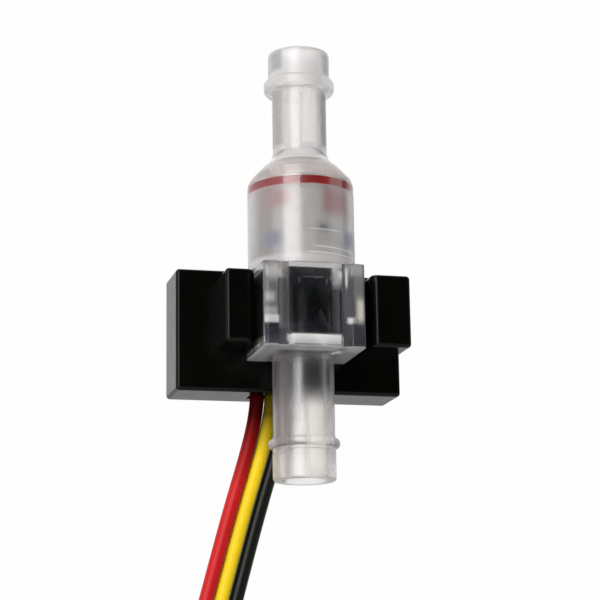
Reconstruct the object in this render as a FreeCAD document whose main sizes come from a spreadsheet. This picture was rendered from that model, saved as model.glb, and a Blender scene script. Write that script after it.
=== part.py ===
import FreeCAD, Part
import math
import os

import Sketcher
from FreeCAD import Placement, Rotation, Vector

# In-line turbine flow sensor: a clear flow line for 10 mm hose with a turbine inside, and a black
# optical pickup that clips round the clear block and looks through it with an infrared pair.
# Millimetres. Z runs up the flow line, X along the pickup's width, Y away from the viewer.
# The origin is on the flow axis, at the middle of the inlet tail's tip, where the hose holds it.

SIZES = {
    # flow line, from the inlet end down
    "tip_length": 4.6,
    "tip_radius": 5.0,
    "tip_rounding": 0.4,
    "inlet_bead_radius": 5.75,
    "inlet_bead_height": 2.2,
    "inlet_neck_radius": 4.4,
    "inlet_neck_length": 9.8,
    "bore_radius": 3.2,
    "bore_lead_in": 0.3,
    "flare_edge_radius": 6.15,
    "flare_drop": 3.0,
    "crown_fall": 2.72,
    "crown_blend": 0.85,
    "crown_height": 3.25,
    "body_radius": 8.6,
    "skirt_wall": 1.05,
    "skirt_gap": 0.05,
    "throat_radius": 5.7,
    "throat_depth": 0.8,
    "throat_cone": 5.2,
    "seal_thickness": 1.35,
    "seal_clearance": 0.05,
    "spigot_length": 13.0,
    "spigot_wall": 1.0,
    "thread_clearance": 0.05,
    # clear block and outlet tail
    "block_side_inset": 0.4,
    "block_front_inset": 0.1,
    "block_height": 13.55,
    "block_corner_round": 0.9,
    "block_bottom_round": 0.5,
    "groove_inner": 4.35,
    "groove_outer": 6.0,
    "groove_depth": 0.4,
    "chamber_radius": 6.3,
    "floor_thickness": 2.45,
    "floor_cone_radius": 4.0,
    "floor_cone_drop": 1.7,
    "sleeve_step_drop": 0.45,
    "funnel_depth": 3.1,
    "outlet_neck_radius": 4.9,
    "outlet_neck_length": 13.15,
    "outlet_bead_radius": 5.7,
    "outlet_bead_height": 1.5,
    "outlet_tip_length": 5.1,
    "counterbore_radius": 3.45,
    "counterbore_length": 4.6,
    # turbine and its bearings
    "rotor_tip_gap": 0.5,
    "rotor_hub_radius": 2.0,
    "hub_chamfer": 0.5,
    "blade_count": 4,
    "blade_thickness": 0.9,
    "blade_height": 7.0,
    "blade_twist": 60.0,
    "blade_root_depth": 0.5,
    "end_float": 0.1,
    "axle_radius": 0.5,
    "axle_clearance": 0.04,
    "axle_end_gap": 0.2,
    "bearing_radius": 1.0,
    "bearing_thickness": 1.2,
    "bearing_seat_gap": 0.01,
    "insert_clearance": 0.03,
    # outlet bearing spider
    "spider_ring_wall": 0.9,
    "spider_ring_height": 1.8,
    "spider_height": 2.4,
    "spider_hub_radius": 1.8,
    "spider_arm_count": 3,
    "spider_arm_width": 1.0,
    # inlet flow straightener
    "sleeve_wall": 0.75,
    "straightener_hub_radius": 1.9,
    "vane_count": 5,
    "vane_thickness": 0.8,
    "vane_height": 6.0,
    "vane_start": 0.6,
    "nose_height": 2.2,
    # black pickup housing
    "case_left_reach": 11.45,
    "case_right_reach": 9.05,
    "housing_depth": 9.3,
    "housing_rise": 1.15,
    "housing_drop": 5.05,
    "housing_round": 0.6,
    "shell_wall": 1.6,
    "end_wall": 1.4,
    "arm_front_reach": 3.0,
    "arm_top_drop": 1.2,
    "arm_height": 11.8,
    "left_arm_width": 4.8,
    "arm_inner_round": 1.3,
    "right_arm_gap": 2.5,
    "arm_root": 1.0,
    "saddle_clearance": 0.05,
    "saddle_back_gap": 0.1,
    "saddle_wall": 1.2,
    "tail_clearance": 0.1,
    "bay_wall": 1.35,
    "cover_thickness": 1.5,
    "cover_rim": 0.8,
    "cover_clearance": 0.05,
    "post_radius": 0.8,
    "post_inset": 2.0,
    # wire outlet in the housing's bottom
    "slot_centre": -3.25,
    "slot_width": 7.8,
    "slot_depth": 3.6,
    "plug_recess": 0.65,
    "plug_height": 1.25,
    "plug_clearance": 0.02,
    # optics
    "beam_drop": 5.95,
    "beam_hole_radius": 1.5,
    "pocket_wall": 0.95,
    "pocket_width": 2.8,
    "pocket_reach": 1.8,
    "pocket_room": 0.6,
    "diode_thickness": 2.0,
    "diode_half_width": 2.2,
    "diode_length": 5.2,
    "diode_gap": 0.2,
    "lens_radius": 1.25,
    "lead_pitch": 2.54,
    "lead_width": 0.5,
    "lead_stand_out": 0.5,
    "lead_hole_radius": 0.45,
    # circuit board and what it carries
    "board_thickness": 1.0,
    "board_space": 0.8,
    "board_clearance": 0.2,
    "chip_inset": 3.8,
    "chip_drop": 13.2,
    "chip_length": 4.9,
    "chip_width": 3.9,
    "chip_height": 1.45,
    "chip_lift": 0.1,
    "leg_pitch": 1.27,
    "leg_width": 0.42,
    "leg_reach": 1.0,
    "leg_thickness": 0.2,
    "resistor_length": 2.0,
    "resistor_width": 1.25,
    "resistor_height": 0.5,
    "resistor_pitch": 2.4,
    "capacitor_radius": 2.0,
    "capacitor_height": 3.6,
    "capacitor_inset": 2.5,
    "capacitor_drop": 14.6,
    "solder_radius": 0.85,
    "solder_tip_radius": 0.5,
    "solder_height": 0.45,
    # wires, their tinned ends and the tie
    "wire_radius": 1.15,
    "wire_pitch": 2.45,
    "wire_setback": 1.8,
    "conductor_radius": 0.4,
    "tinned_radius": 0.8,
    "tinned_length": 5.0,
    "pad_rise": 2.9,
    "tie_drop": 55.65,
    "tie_shift": -12.5,
    "tie_wall": 0.9,
    "tie_height": 2.0,
    "tie_clearance": 0.1,
    "tie_round": 0.8,
    "tie_depth": 4.7,
    "tie_head_width": 3.2,
    "tie_head_depth": 2.2,
    "tie_head_height": 3.4,
}

# The middle wire's route from the housing down, round one fold and back up through the tie,
# as steps from the point where it leaves the housing. The two other wires lie beside it.
WIRE_ROUTE = [
    (0.00, 0.00, 0.00),
    (0.00, 0.00, -3.50),
    (-1.40, 0.00, -8.90),
    (-4.40, 0.00, -19.40),
    (-8.20, -0.10, -31.60),
    (-11.00, -0.80, -41.60),
    (-12.50, -1.20, -51.20),
    (-12.50, -1.20, -60.65),
    (-12.50, -15.16, -72.35),
    (-12.50, -14.02, -80.95),
    (-12.50, -6.14, -84.65),
    (-12.50, 1.20, -79.95),
    (-12.50, 1.35, -63.65),
    (-12.50, 1.10, -48.15),
]
RUN_SHARE = 0.45

document = FreeCAD.newDocument("flow_sensor")
sheet = document.addObject("Spreadsheet::Sheet", "Sizes")
for row, (alias, number) in enumerate(SIZES.items(), 1):
    sheet.set(f"A{row}", alias)
    sheet.set(f"B{row}", str(number))
    sheet.setAlias(f"B{row}", alias)
document.recompute()

nodes = {}


class Term:
    """A size, both as its number and as the text that binds a property to the sheet."""

    def __init__(self, text, value):
        self.text = text
        self.value = value

    def __add__(self, other):
        other = as_term(other)
        return Term(f"({self.text} + {other.text})", self.value + other.value)

    def __sub__(self, other):
        other = as_term(other)
        return Term(f"({self.text} - {other.text})", self.value - other.value)

    def __mul__(self, other):
        other = as_term(other)
        return Term(f"({self.text} * {other.text})", self.value * other.value)

    def __truediv__(self, other):
        other = as_term(other)
        return Term(f"({self.text} / {other.text})", self.value / other.value)

    def __neg__(self):
        return Term(f"(0 - {self.text})", -self.value)

    def root(self):
        return Term(f"sqrt({self.text})", math.sqrt(self.value))


def as_term(number):
    """A plain number as a term, and a term as it is."""
    if isinstance(number, Term):
        return number
    return Term(str(number), float(number))


def size(alias):
    """The named size of the sheet as a term."""
    return Term(f"Sizes.{alias}", float(sheet.get(alias)))


def bind(thing, name, term):
    """Bind one property to the sheet, and set it at once so that later steps can read it."""
    thing.setExpression(name, as_term(term).text)


def keep(node, thing):
    """Register the object whose shape is written as the node's file."""
    thing.Label = node
    nodes[node] = thing
    return thing


def new_body(name):
    return document.addObject("PartDesign::Body", name)


def origin_part(body, role):
    """One of the body's own origin planes or axes."""
    return [feature for feature in body.Origin.OriginFeatures if feature.Role == role][0]


def place(thing, corner):
    """Bind the position of a primitive to three terms."""
    for axis, term in zip("xyz", corner):
        bind(thing, f"Placement.Base.{axis}", term)


def box_in(body, name, low, high, cut=False):
    """A box between two corners, added to a body or cut from it."""
    kind = "PartDesign::SubtractiveBox" if cut else "PartDesign::AdditiveBox"
    box = body.newObject(kind, name)
    for index, name_of_side in enumerate(("Length", "Width", "Height")):
        bind(box, name_of_side, as_term(high[index]) - low[index])
    place(box, low)
    document.recompute()
    return box


TURNS = {"x": Rotation(Vector(0, 1, 0), 90), "y": Rotation(Vector(1, 0, 0), -90), "z": Rotation()}


def round_in(body, name, start, length, radius, axis, cut=False):
    """A cylinder along a positive axis from its start, added to a body or cut from it."""
    kind = "PartDesign::SubtractiveCylinder" if cut else "PartDesign::AdditiveCylinder"
    cylinder = body.newObject(kind, name)
    cylinder.Placement = Placement(Vector(), TURNS[axis])
    bind(cylinder, "Radius", radius)
    bind(cylinder, "Height", length)
    place(cylinder, start)
    document.recompute()
    return cylinder


def fillet_in(body, name, radius, wanted):
    """Round the edges of the body's tip whose middle and direction the test accepts."""
    base = body.Tip
    names = []
    for number, edge in enumerate(base.Shape.Edges, 1):
        if edge.Degenerated or edge.Curve.TypeId != "Part::GeomLine":
            continue
        middle = edge.valueAt((edge.FirstParameter + edge.LastParameter) / 2)
        if wanted(middle, edge.tangentAt(edge.FirstParameter)):
            names.append(f"Edge{number}")
    fillet = body.newObject("PartDesign::Fillet", name)
    fillet.Base = (base, names)
    bind(fillet, "Radius", radius)
    document.recompute()
    return fillet


def arc_between(start, end, radius, side):
    """The shorter arc between two points, bulging to the left (1) or right (-1) of the way."""
    chord = end - start
    half = chord.Length / 2
    left = Vector(-chord.y, chord.x, 0).normalize()
    centre = (start + end) / 2 - left * (math.sqrt(max(radius * radius - half * half, 0.0)) * side)
    first, last = (end, start) if side > 0 else (start, end)
    angles = [math.atan2(spot.y - centre.y, spot.x - centre.x) for spot in (first, last)]
    if angles[1] < angles[0]:
        angles[1] += 2 * math.pi
    return Part.ArcOfCircle(Part.Circle(centre, Vector(0, 0, 1), radius), *angles)


def outline(body, name, points):
    """A closed sketch in the XZ plane. A point is (across, up), or (across, up, radius, side)
    where the way to the next point is an arc. Every corner is bound to the sheet."""
    sketch = body.newObject("Sketcher::SketchObject", name)
    sketch.AttachmentSupport = [(origin_part(body, "XZ_Plane"), "")]
    sketch.MapMode = "FlatFace"
    spots = [Vector(as_term(point[0]).value, as_term(point[1]).value, 0) for point in points]
    ends = []
    for index, point in enumerate(points):
        start = spots[index]
        end = spots[(index + 1) % len(points)]
        if len(point) == 2:
            sketch.addGeometry(Part.LineSegment(start, end), False)
            ends.append((1, 2))
        else:
            sketch.addGeometry(arc_between(start, end, point[2].value, point[3]), False)
            ends.append((2, 1) if point[3] > 0 else (1, 2))
    for index in range(len(points)):
        after = (index + 1) % len(points)
        sketch.addConstraint(Sketcher.Constraint("Coincident", index, ends[index][1], after, ends[after][0]))
    for index, point in enumerate(points):
        corner = ends[index][0]
        if as_term(point[0]).value == 0:
            sketch.addConstraint(Sketcher.Constraint("PointOnObject", index, corner, -2))
        else:
            fix_distance(sketch, "DistanceX", index, corner, point[0])
        fix_distance(sketch, "DistanceY", index, corner, point[1])
        if len(point) > 2:
            made = sketch.addConstraint(Sketcher.Constraint("Radius", index, point[2].value))
            bind(sketch, f"Constraints[{made}]", point[2])
    document.recompute()
    return sketch


def fix_distance(sketch, kind, index, corner, term):
    """Hold one corner of a sketch at a distance from its origin, bound to the sheet."""
    term = as_term(term)
    made = sketch.addConstraint(Sketcher.Constraint(kind, -1, 1, index, corner, term.value))
    bind(sketch, f"Constraints[{made}]", term)


def turned(body, name, points, cut=False):
    """A full turn of an outline round the flow axis, added to a body or cut from it."""
    sketch = outline(body, f"{name}_outline", points)
    turn = body.newObject("PartDesign::Groove" if cut else "PartDesign::Revolution", name)
    turn.Profile = sketch
    turn.ReferenceAxis = (sketch, ["V_Axis"])
    turn.Angle = 360
    document.recompute()
    return turn


def ring_of(body, name, original, count):
    """A polar pattern of one feature round the flow axis."""
    pattern = body.newObject("PartDesign::PolarPattern", name)
    pattern.Originals = [original]
    pattern.Axis = (origin_part(body, "Z_Axis"), [""])
    pattern.Angle = 360
    bind(pattern, "Occurrences", count)
    body.Tip = pattern
    document.recompute()
    return pattern


def loose_box(name, low, high):
    """A stand-alone box between two corners."""
    box = document.addObject("Part::Box", name)
    for index, name_of_side in enumerate(("Length", "Width", "Height")):
        bind(box, name_of_side, as_term(high[index]) - low[index])
    place(box, low)
    return box


def loose_round(name, start, length, radius, axis):
    """A stand-alone cylinder along a positive axis."""
    cylinder = document.addObject("Part::Cylinder", name)
    cylinder.Placement = Placement(Vector(), TURNS[axis])
    bind(cylinder, "Radius", radius)
    bind(cylinder, "Height", length)
    place(cylinder, start)
    return cylinder


def joined(name, parts):
    """Several solids fused into one piece."""
    fuse = document.addObject("Part::MultiFuse", name)
    fuse.Shapes = parts
    return fuse


def group(name, parts):
    """Several separate solids that share one node."""
    compound = document.addObject("Part::Compound", name)
    compound.Links = parts
    return compound


# Levels along the flow axis, from the inlet end down
inlet_end = size("tip_length") / 2
inlet_bead_top = -(size("tip_length") / 2)
inlet_bead_bottom = inlet_bead_top - size("inlet_bead_height")
flare_top = inlet_bead_bottom - size("inlet_neck_length")
flare_edge = flare_top - size("flare_drop")
seal_top = flare_edge - size("crown_height")
seal_bottom = seal_top - size("seal_thickness")
block_top = seal_bottom - size("spigot_length")
block_bottom = block_top - size("block_height")
chamber_floor = block_bottom + size("floor_thickness")
sleeve_step = block_top - size("sleeve_step_drop")
outlet_bead_top = block_bottom - size("outlet_neck_length")
outlet_bead_bottom = outlet_bead_top - size("outlet_bead_height")
outlet_end = outlet_bead_bottom - size("outlet_tip_length")
beam_level = block_top - size("beam_drop")

# Levels of the turbine between its two bearings
spider_top = chamber_floor + size("spider_height")
hub_bottom = spider_top + size("end_float")
upper_seat = sleeve_step
hub_top = upper_seat - size("end_float")
upper_seat_top = upper_seat + size("bearing_thickness")
lower_seat = spider_top - size("bearing_thickness")

# Radii that follow from others
socket_radius = size("body_radius") - size("skirt_wall")
spigot_radius = socket_radius - size("thread_clearance")
spigot_bore = spigot_radius - size("spigot_wall")
block_half_width = size("body_radius") - size("block_side_inset")
block_half_depth = size("body_radius") - size("block_front_inset")


def make_inlet_cap():
    """Inlet tail, flare, crown and the skirt that screws over the body's spigot."""
    body = new_body("InletCap")
    tip = size("tip_radius")
    neck = size("inlet_neck_radius")
    edge = size("flare_edge_radius")
    outer = size("body_radius")
    bulge = size("inlet_bead_radius") - tip
    flare_out = edge - neck
    flare_radius = (flare_out * flare_out + size("flare_drop") * size("flare_drop")) / (flare_out * 2)
    run = outer - edge
    fall = size("crown_fall")
    slope = (run * run + fall * fall).root()
    blend = size("crown_blend")
    corner = flare_edge - fall
    blend_radius = blend * (slope + fall) / run
    throat_top = seal_top + size("throat_depth")
    turned(body, "CapForm", [
        (size("bore_radius") + size("bore_lead_in"), inlet_end),
        (tip - size("tip_rounding"), inlet_end, size("tip_rounding"), 1),
        (tip, inlet_end - size("tip_rounding")),
        (tip, inlet_bead_top, bulge, 1),
        (size("inlet_bead_radius"), inlet_bead_top - bulge),
        (size("inlet_bead_radius"), inlet_bead_bottom + bulge, bulge, 1),
        (tip, inlet_bead_bottom),
        (neck, inlet_bead_bottom),
        (neck, flare_top, flare_radius, -1),
        (edge, flare_edge),
        (outer - blend * run / slope, corner + blend * fall / slope, blend_radius, 1),
        (outer, corner - blend),
        (outer, block_top + size("skirt_gap")),
        (socket_radius, block_top + size("skirt_gap")),
        (socket_radius, seal_top),
        (size("throat_radius"), seal_top),
        (size("throat_radius"), throat_top),
        (size("bore_radius"), throat_top + size("throat_cone")),
        (size("bore_radius"), inlet_end - size("bore_lead_in")),
    ])
    keep("inlet_cap", body)


def make_flow_body():
    """Clear block with the spigot above it and the outlet tail below it, bored for the turbine."""
    body = new_body("FlowBody")
    half_width = block_half_width
    half_depth = block_half_depth
    box_in(body, "Block", (-half_width, -half_depth, block_bottom), (half_width, half_depth, block_top))
    fillet_in(body, "BlockCorners", size("block_corner_round"), lambda spot, way: abs(way.z) > 0.99)
    low = block_bottom.value
    fillet_in(body, "BlockFoot", size("block_bottom_round"),
              lambda spot, way: abs(spot.z - low) < 0.01 and abs(way.z) < 0.01)
    for side, name in ((-1, "Left"), (1, "Right")):
        inner = size("groove_inner") * side
        outer = size("groove_outer") * side
        first, last = (outer, inner) if side < 0 else (inner, outer)
        box_in(body, f"{name}Groove", (first, -half_depth - 1, block_bottom - 1),
               (last, size("groove_depth") - half_depth, block_top + 1), cut=True)
    round_in(body, "Spigot", (0, 0, block_top - 1), seal_bottom - block_top + 1, spigot_radius, "z")
    tip = size("tip_radius")
    neck = size("outlet_neck_radius")
    bulge = size("outlet_bead_radius") - tip
    turned(body, "Tail", [
        (0, block_bottom + 1),
        (neck, block_bottom + 1),
        (neck, outlet_bead_top),
        (tip, outlet_bead_top, bulge, 1),
        (size("outlet_bead_radius"), outlet_bead_top - bulge),
        (size("outlet_bead_radius"), outlet_bead_bottom + bulge, bulge, 1),
        (tip, outlet_bead_bottom),
        (tip, outlet_end + size("tip_rounding"), size("tip_rounding"), 1),
        (tip - size("tip_rounding"), outlet_end),
        (0, outlet_end),
    ])
    bore = size("bore_radius")
    wide = size("counterbore_radius")
    before = body.Shape.Volume
    turned(body, "FlowWay", [
        (0, seal_bottom + 1),
        (spigot_bore, seal_bottom + 1),
        (spigot_bore, sleeve_step),
        (size("chamber_radius"), sleeve_step),
        (size("chamber_radius"), chamber_floor),
        (size("floor_cone_radius"), chamber_floor - size("floor_cone_drop")),
        (bore, chamber_floor - size("funnel_depth")),
        (bore, outlet_end + size("counterbore_length")),
        (wide, outlet_end + size("counterbore_length")),
        (wide, outlet_end + size("bore_lead_in")),
        (wide + size("bore_lead_in"), outlet_end),
        (wide + size("bore_lead_in"), outlet_end - 1),
        (0, outlet_end - 1),
    ], cut=True)
    print("flow way cuts", round(before - body.Shape.Volume, 1), "cubic mm")
    keep("flow_body", body)


def make_seal_ring():
    """Flat red ring clamped between the spigot's end and the cap's inner shoulder."""
    body = new_body("SealRing")
    inner = spigot_bore + size("seal_clearance")
    outer = socket_radius - size("seal_clearance")
    turned(body, "RingForm", [(inner, seal_bottom), (outer, seal_bottom), (outer, seal_top), (inner, seal_top)])
    keep("seal_ring", body)


def make_rotor():
    """Helical turbine rotor: a chamfered hub with twisted blades lofted through four sections."""
    body = new_body("TurbineRotor")
    hub = size("rotor_hub_radius")
    chamfer = size("hub_chamfer")
    axle = size("axle_radius")
    turned(body, "Hub", [
        (axle, hub_bottom),
        (hub - chamfer, hub_bottom),
        (hub, hub_bottom + chamfer),
        (hub, hub_top - chamfer),
        (hub - chamfer, hub_top),
        (axle, hub_top),
    ])
    plane = origin_part(body, "XY_Plane")
    root = hub - size("blade_root_depth")
    tip = size("chamber_radius") - size("rotor_tip_gap")
    half = size("blade_thickness") / 2
    blade_bottom = (hub_bottom + hub_top - size("blade_height")) / 2
    sections = []
    steps = 4
    for step in range(steps + 1):
        sketch = body.newObject("Sketcher::SketchObject", f"BladeSection{step}")
        sketch.AttachmentSupport = [(plane, "")]
        sketch.MapMode = "FlatFace"
        corners = [(root, -half), (tip, -half), (tip, half), (root, half)]
        spots = [Vector(across.value, up.value, 0) for across, up in corners]
        for index in range(len(spots)):
            sketch.addGeometry(Part.LineSegment(spots[index], spots[(index + 1) % len(spots)]), False)
        for index in range(len(spots)):
            sketch.addConstraint(Sketcher.Constraint("Coincident", index, 2, (index + 1) % len(spots), 1))
        for index, (across, up) in enumerate(corners):
            fix_distance(sketch, "DistanceX", index, 1, across)
            fix_distance(sketch, "DistanceY", index, 1, up)
        bind(sketch, "AttachmentOffset.Base.z", blade_bottom + size("blade_height") * step / steps)
        bind(sketch, "AttachmentOffset.Rotation.Angle", size("blade_twist") * step / steps)
        sections.append(sketch)
    document.recompute()
    blade = body.newObject("PartDesign::AdditiveLoft", "Blade")
    blade.Profile = sections[0]
    blade.Sections = sections[1:]
    blade.Ruled = False
    document.recompute()
    ring_of(body, "Blades", blade, size("blade_count"))
    keep("turbine_rotor", body)


def make_axle_and_bearings():
    """Steel axle fixed in the rotor, and the two ring jewels that it turns in."""
    bottom = lower_seat + size("axle_end_gap")
    top = upper_seat_top - size("axle_end_gap")
    keep("rotor_axle", loose_round("Axle", (0, 0, bottom), top - bottom, size("axle_radius"), "z"))
    inner = size("axle_radius") + size("axle_clearance")
    for node, level in (("outlet_bearing", lower_seat), ("inlet_bearing", upper_seat)):
        body = new_body(node.title().replace("_", ""))
        high = level + size("bearing_thickness")
        turned(body, "Ring", [(inner, level), (size("bearing_radius"), level), (size("bearing_radius"), high),
                              (inner, high)])
        keep(node, body)


def make_spider():
    """Ring on the chamber floor whose three arms carry the lower bearing."""
    body = new_body("OutletSpider")
    outer = size("chamber_radius") - size("insert_clearance")
    inner = outer - size("spider_ring_wall")
    hub = size("spider_hub_radius")
    seat = size("bearing_radius") + size("bearing_seat_gap")
    turned(body, "SpiderRing", [
        (inner, chamber_floor),
        (outer, chamber_floor),
        (outer, chamber_floor + size("spider_ring_height")),
        (inner, chamber_floor + size("spider_ring_height")),
    ])
    half = size("spider_arm_width") / 2
    arm = box_in(body, "Arm", (hub - 0.3, -half, chamber_floor), (inner + 0.3, half, lower_seat))
    ring_of(body, "Arms", arm, size("spider_arm_count"))
    turned(body, "SpiderHub", [
        (0, chamber_floor),
        (hub, chamber_floor),
        (hub, spider_top),
        (seat, spider_top),
        (seat, lower_seat),
        (0, lower_seat),
    ])
    keep("outlet_spider", body)


def make_straightener():
    """Sleeve in the spigot with straight vanes and a nosed hub that carries the upper bearing."""
    body = new_body("FlowStraightener")
    outer = spigot_bore - size("insert_clearance")
    inner = outer - size("sleeve_wall")
    hub = size("straightener_hub_radius")
    seat = size("bearing_radius") + size("bearing_seat_gap")
    vane_bottom = sleeve_step + size("vane_start")
    vane_top = vane_bottom + size("vane_height")
    nose_top = vane_top + size("nose_height")
    nose_radius = (hub * hub + size("nose_height") * size("nose_height")) / (hub * 2)
    turned(body, "Sleeve", [
        (inner, sleeve_step),
        (outer, sleeve_step),
        (outer, seal_top - size("seal_clearance")),
        (inner, seal_top - size("seal_clearance")),
    ])
    half = size("vane_thickness") / 2
    vane = box_in(body, "Vane", (hub - 0.3, -half, vane_bottom), (inner + 0.3, half, vane_top))
    ring_of(body, "Vanes", vane, size("vane_count"))
    turned(body, "NosedHub", [
        (0, upper_seat_top),
        (seat, upper_seat_top),
        (seat, upper_seat),
        (hub, upper_seat),
        (hub, vane_top, nose_radius, -1),
        (0, nose_top),
    ])
    keep("flow_straightener", body)


# Faces of the pickup housing, set out from the saddle that holds the block
saddle_side = block_half_width + size("saddle_clearance")
saddle_back = block_half_depth + size("saddle_back_gap")
saddle_floor = block_bottom - size("saddle_clearance")
board_front = saddle_back + size("saddle_wall")
board_back = board_front + size("board_thickness")
cover_seat = board_back + size("board_space")
rear_face = cover_seat + size("cover_thickness")
front_face = rear_face - size("housing_depth")
left_face = -(saddle_side + size("case_left_reach"))
right_face = saddle_side + size("case_right_reach")
roof = block_top + size("housing_rise")
foot = block_bottom - size("housing_drop")
arm_front = -size("arm_front_reach")
arm_top = roof - size("arm_top_drop")
arm_foot = arm_top - size("arm_height")
right_arm_inner = saddle_side + size("right_arm_gap")
bay_inner = saddle_side + size("bay_wall")
bay_left = left_face + size("shell_wall")
bay_right = right_face - size("shell_wall")
bay_floor = foot + size("end_wall")
bay_roof = roof - size("end_wall")
slot_front = board_front - size("slot_depth")
slot_left = size("slot_centre") - size("slot_width") / 2
slot_right = size("slot_centre") + size("slot_width") / 2
wire_start = foot + size("plug_recess")
wire_depth = board_front - size("wire_setback")
pocket_inner = saddle_side + size("pocket_wall")
pocket_outer = pocket_inner + size("pocket_width")
left_diode = -(pocket_inner + size("pocket_width") / 2)
right_diode = size("right_arm_gap") - left_diode
diode_front = size("diode_gap") - size("pocket_reach")


def make_housing():
    """Black one-piece case: a flat box behind the block, and an arm on either side of the block."""
    body = new_body("HousingShell")
    box_in(body, "Case", (left_face, front_face, foot), (right_face, rear_face, roof))
    fillet_in(body, "CaseEdges", size("housing_round"), lambda spot, way: True)
    arm_back = front_face + size("arm_root")
    arms = (("LeftArm", -(saddle_side + size("left_arm_width")), -saddle_side, -saddle_side),
            ("RightArm", right_arm_inner, right_face, right_arm_inner))
    front = arm_front.value
    back = front_face.value
    for name, low, high, inner in arms:
        box_in(body, name, (low, arm_front, arm_foot), (high, arm_back, arm_top))
        inner_side = inner.value
        fillet_in(body, f"{name}InnerEdge", size("arm_inner_round"),
                  lambda spot, way: abs(spot.y - front) < 0.01 and abs(way.z) > 0.99
                  and abs(spot.x - inner_side) < 0.01)
        sides = (low.value, high.value)
        fillet_in(body, f"{name}Edges", size("housing_round"),
                  lambda spot, way: spot.y < back - 0.5 and sides[0] - 0.01 < spot.x < sides[1] + 0.01
                  and (abs(spot.y - front) < 0.01 or abs(way.y) > 0.99))
    before = body.Shape.Volume
    past = rear_face + 1
    box_in(body, "Saddle", (-saddle_side, front_face - 1, saddle_floor), (saddle_side, saddle_back, roof + 1), cut=True)
    round_in(body, "TailGroove", (0, 0, foot - 1), saddle_floor - foot + 2,
             size("outlet_neck_radius") + size("tail_clearance"), "z", cut=True)
    box_in(body, "BoardBay", (bay_left, board_front, bay_floor), (bay_right, past, bay_roof), cut=True)
    bay_front = front_face + size("shell_wall")
    box_in(body, "LeftBay", (bay_left, bay_front, bay_floor), (-bay_inner, past, bay_roof), cut=True)
    box_in(body, "RightBay", (bay_inner, bay_front, bay_floor), (bay_right, past, bay_roof), cut=True)
    box_in(body, "LowerBay", (-bay_inner - 1, slot_front, bay_floor),
           (bay_inner + 1, past, saddle_floor - size("saddle_wall")), cut=True)
    rim = size("cover_rim")
    box_in(body, "CoverSeat", (left_face + rim, cover_seat, foot + rim), (right_face - rim, past, roof - rim), cut=True)
    box_in(body, "WireSlot", (slot_left, slot_front, foot - 1), (slot_right, board_front, bay_floor + 1),
           cut=True)
    half = size("diode_half_width") + size("pocket_room")
    deep = bay_front + 1
    gap = size("right_arm_gap")
    for name, low, high in (("Left", -pocket_outer, -pocket_inner),
                            ("Right", pocket_inner + gap, pocket_outer + gap)):
        box_in(body, f"{name}DiodePocket", (low, -size("pocket_reach"), beam_level - half),
               (high, deep, beam_level + half), cut=True)
    round_in(body, "LeftBeamHole", (-pocket_inner - 0.5, 0, beam_level), pocket_inner - saddle_side + 1,
             size("beam_hole_radius"), "x", cut=True)
    round_in(body, "RightBeamHole", (right_arm_inner - 0.5, 0, beam_level), pocket_inner - saddle_side + 1,
             size("beam_hole_radius"), "x", cut=True)
    print("housing cuts", round(before - body.Shape.Volume, 1), "cubic mm")
    keep("housing_shell", body)


def make_cover():
    """Plate that closes the case from behind, with four posts that hold the board on its seat."""
    body = new_body("RearCover")
    edge = size("cover_rim") + size("cover_clearance")
    box_in(body, "Plate", (left_face + edge, cover_seat, foot + edge), (right_face - edge, rear_face, roof - edge))
    inset = size("post_inset")
    spots = [(across, up) for across in (bay_left + inset, bay_right - inset)
             for up in (bay_floor + inset, bay_roof - inset)]
    for number, (across, up) in enumerate(spots, 1):
        round_in(body, f"Post{number}", (across, board_back, up), cover_seat - board_back + 0.5,
                 size("post_radius"), "y")
    keep("rear_cover", body)


def diode_sides():
    """Name, side and lead node of the two diodes that face each other across the block."""
    return (("ir_emitter", "emitter_leads", -1, left_diode), ("ir_receiver", "receiver_leads", 1, right_diode))


def make_diodes():
    """Side-looking infrared emitter and receiver, one in each arm, with their leads."""
    thick = size("diode_thickness") / 2
    half_width = size("diode_half_width")
    back = diode_front + size("diode_length")
    half_lead = size("lead_width") / 2
    for node, lead_node, side, centre in diode_sides():
        case = loose_box(f"{node}_case", (centre - thick, diode_front, beam_level - half_width),
                         (centre + thick, back, beam_level + half_width))
        lens = document.addObject("Part::Sphere", f"{node}_lens")
        bind(lens, "Radius", size("lens_radius"))
        place(lens, (centre - thick * side + 0.3 * side, 0, beam_level))
        keep(node, joined(f"{node}_piece", [case, lens]))
        leads = []
        for number, up in enumerate((-1, 1), 1):
            level = beam_level + size("lead_pitch") / 2 * up
            leads.append(loose_box(f"{lead_node}{number}", (centre - half_lead, back, level - half_lead),
                                   (centre + half_lead, board_back + size("lead_stand_out"), level + half_lead)))
        keep(lead_node, group(f"{lead_node}_group", leads))


def lead_spots():
    """Where the four diode leads pass through the board."""
    return [(centre, beam_level + size("lead_pitch") / 2 * up)
            for centre in (left_diode, right_diode) for up in (-1, 1)]


def make_board():
    """Circuit board against the saddle's rear wall, drilled for the diode leads."""
    body = new_body("CircuitBoard")
    gap = size("board_clearance")
    box_in(body, "Laminate", (bay_left + gap, board_front, bay_floor + gap), (bay_right - gap, board_back, bay_roof - gap))
    for number, (across, up) in enumerate(lead_spots(), 1):
        round_in(body, f"LeadHole{number}", (across, board_front - 1, up), size("board_thickness") + 2,
                 size("lead_hole_radius"), "y", cut=True)
    keep("circuit_board", body)


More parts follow.
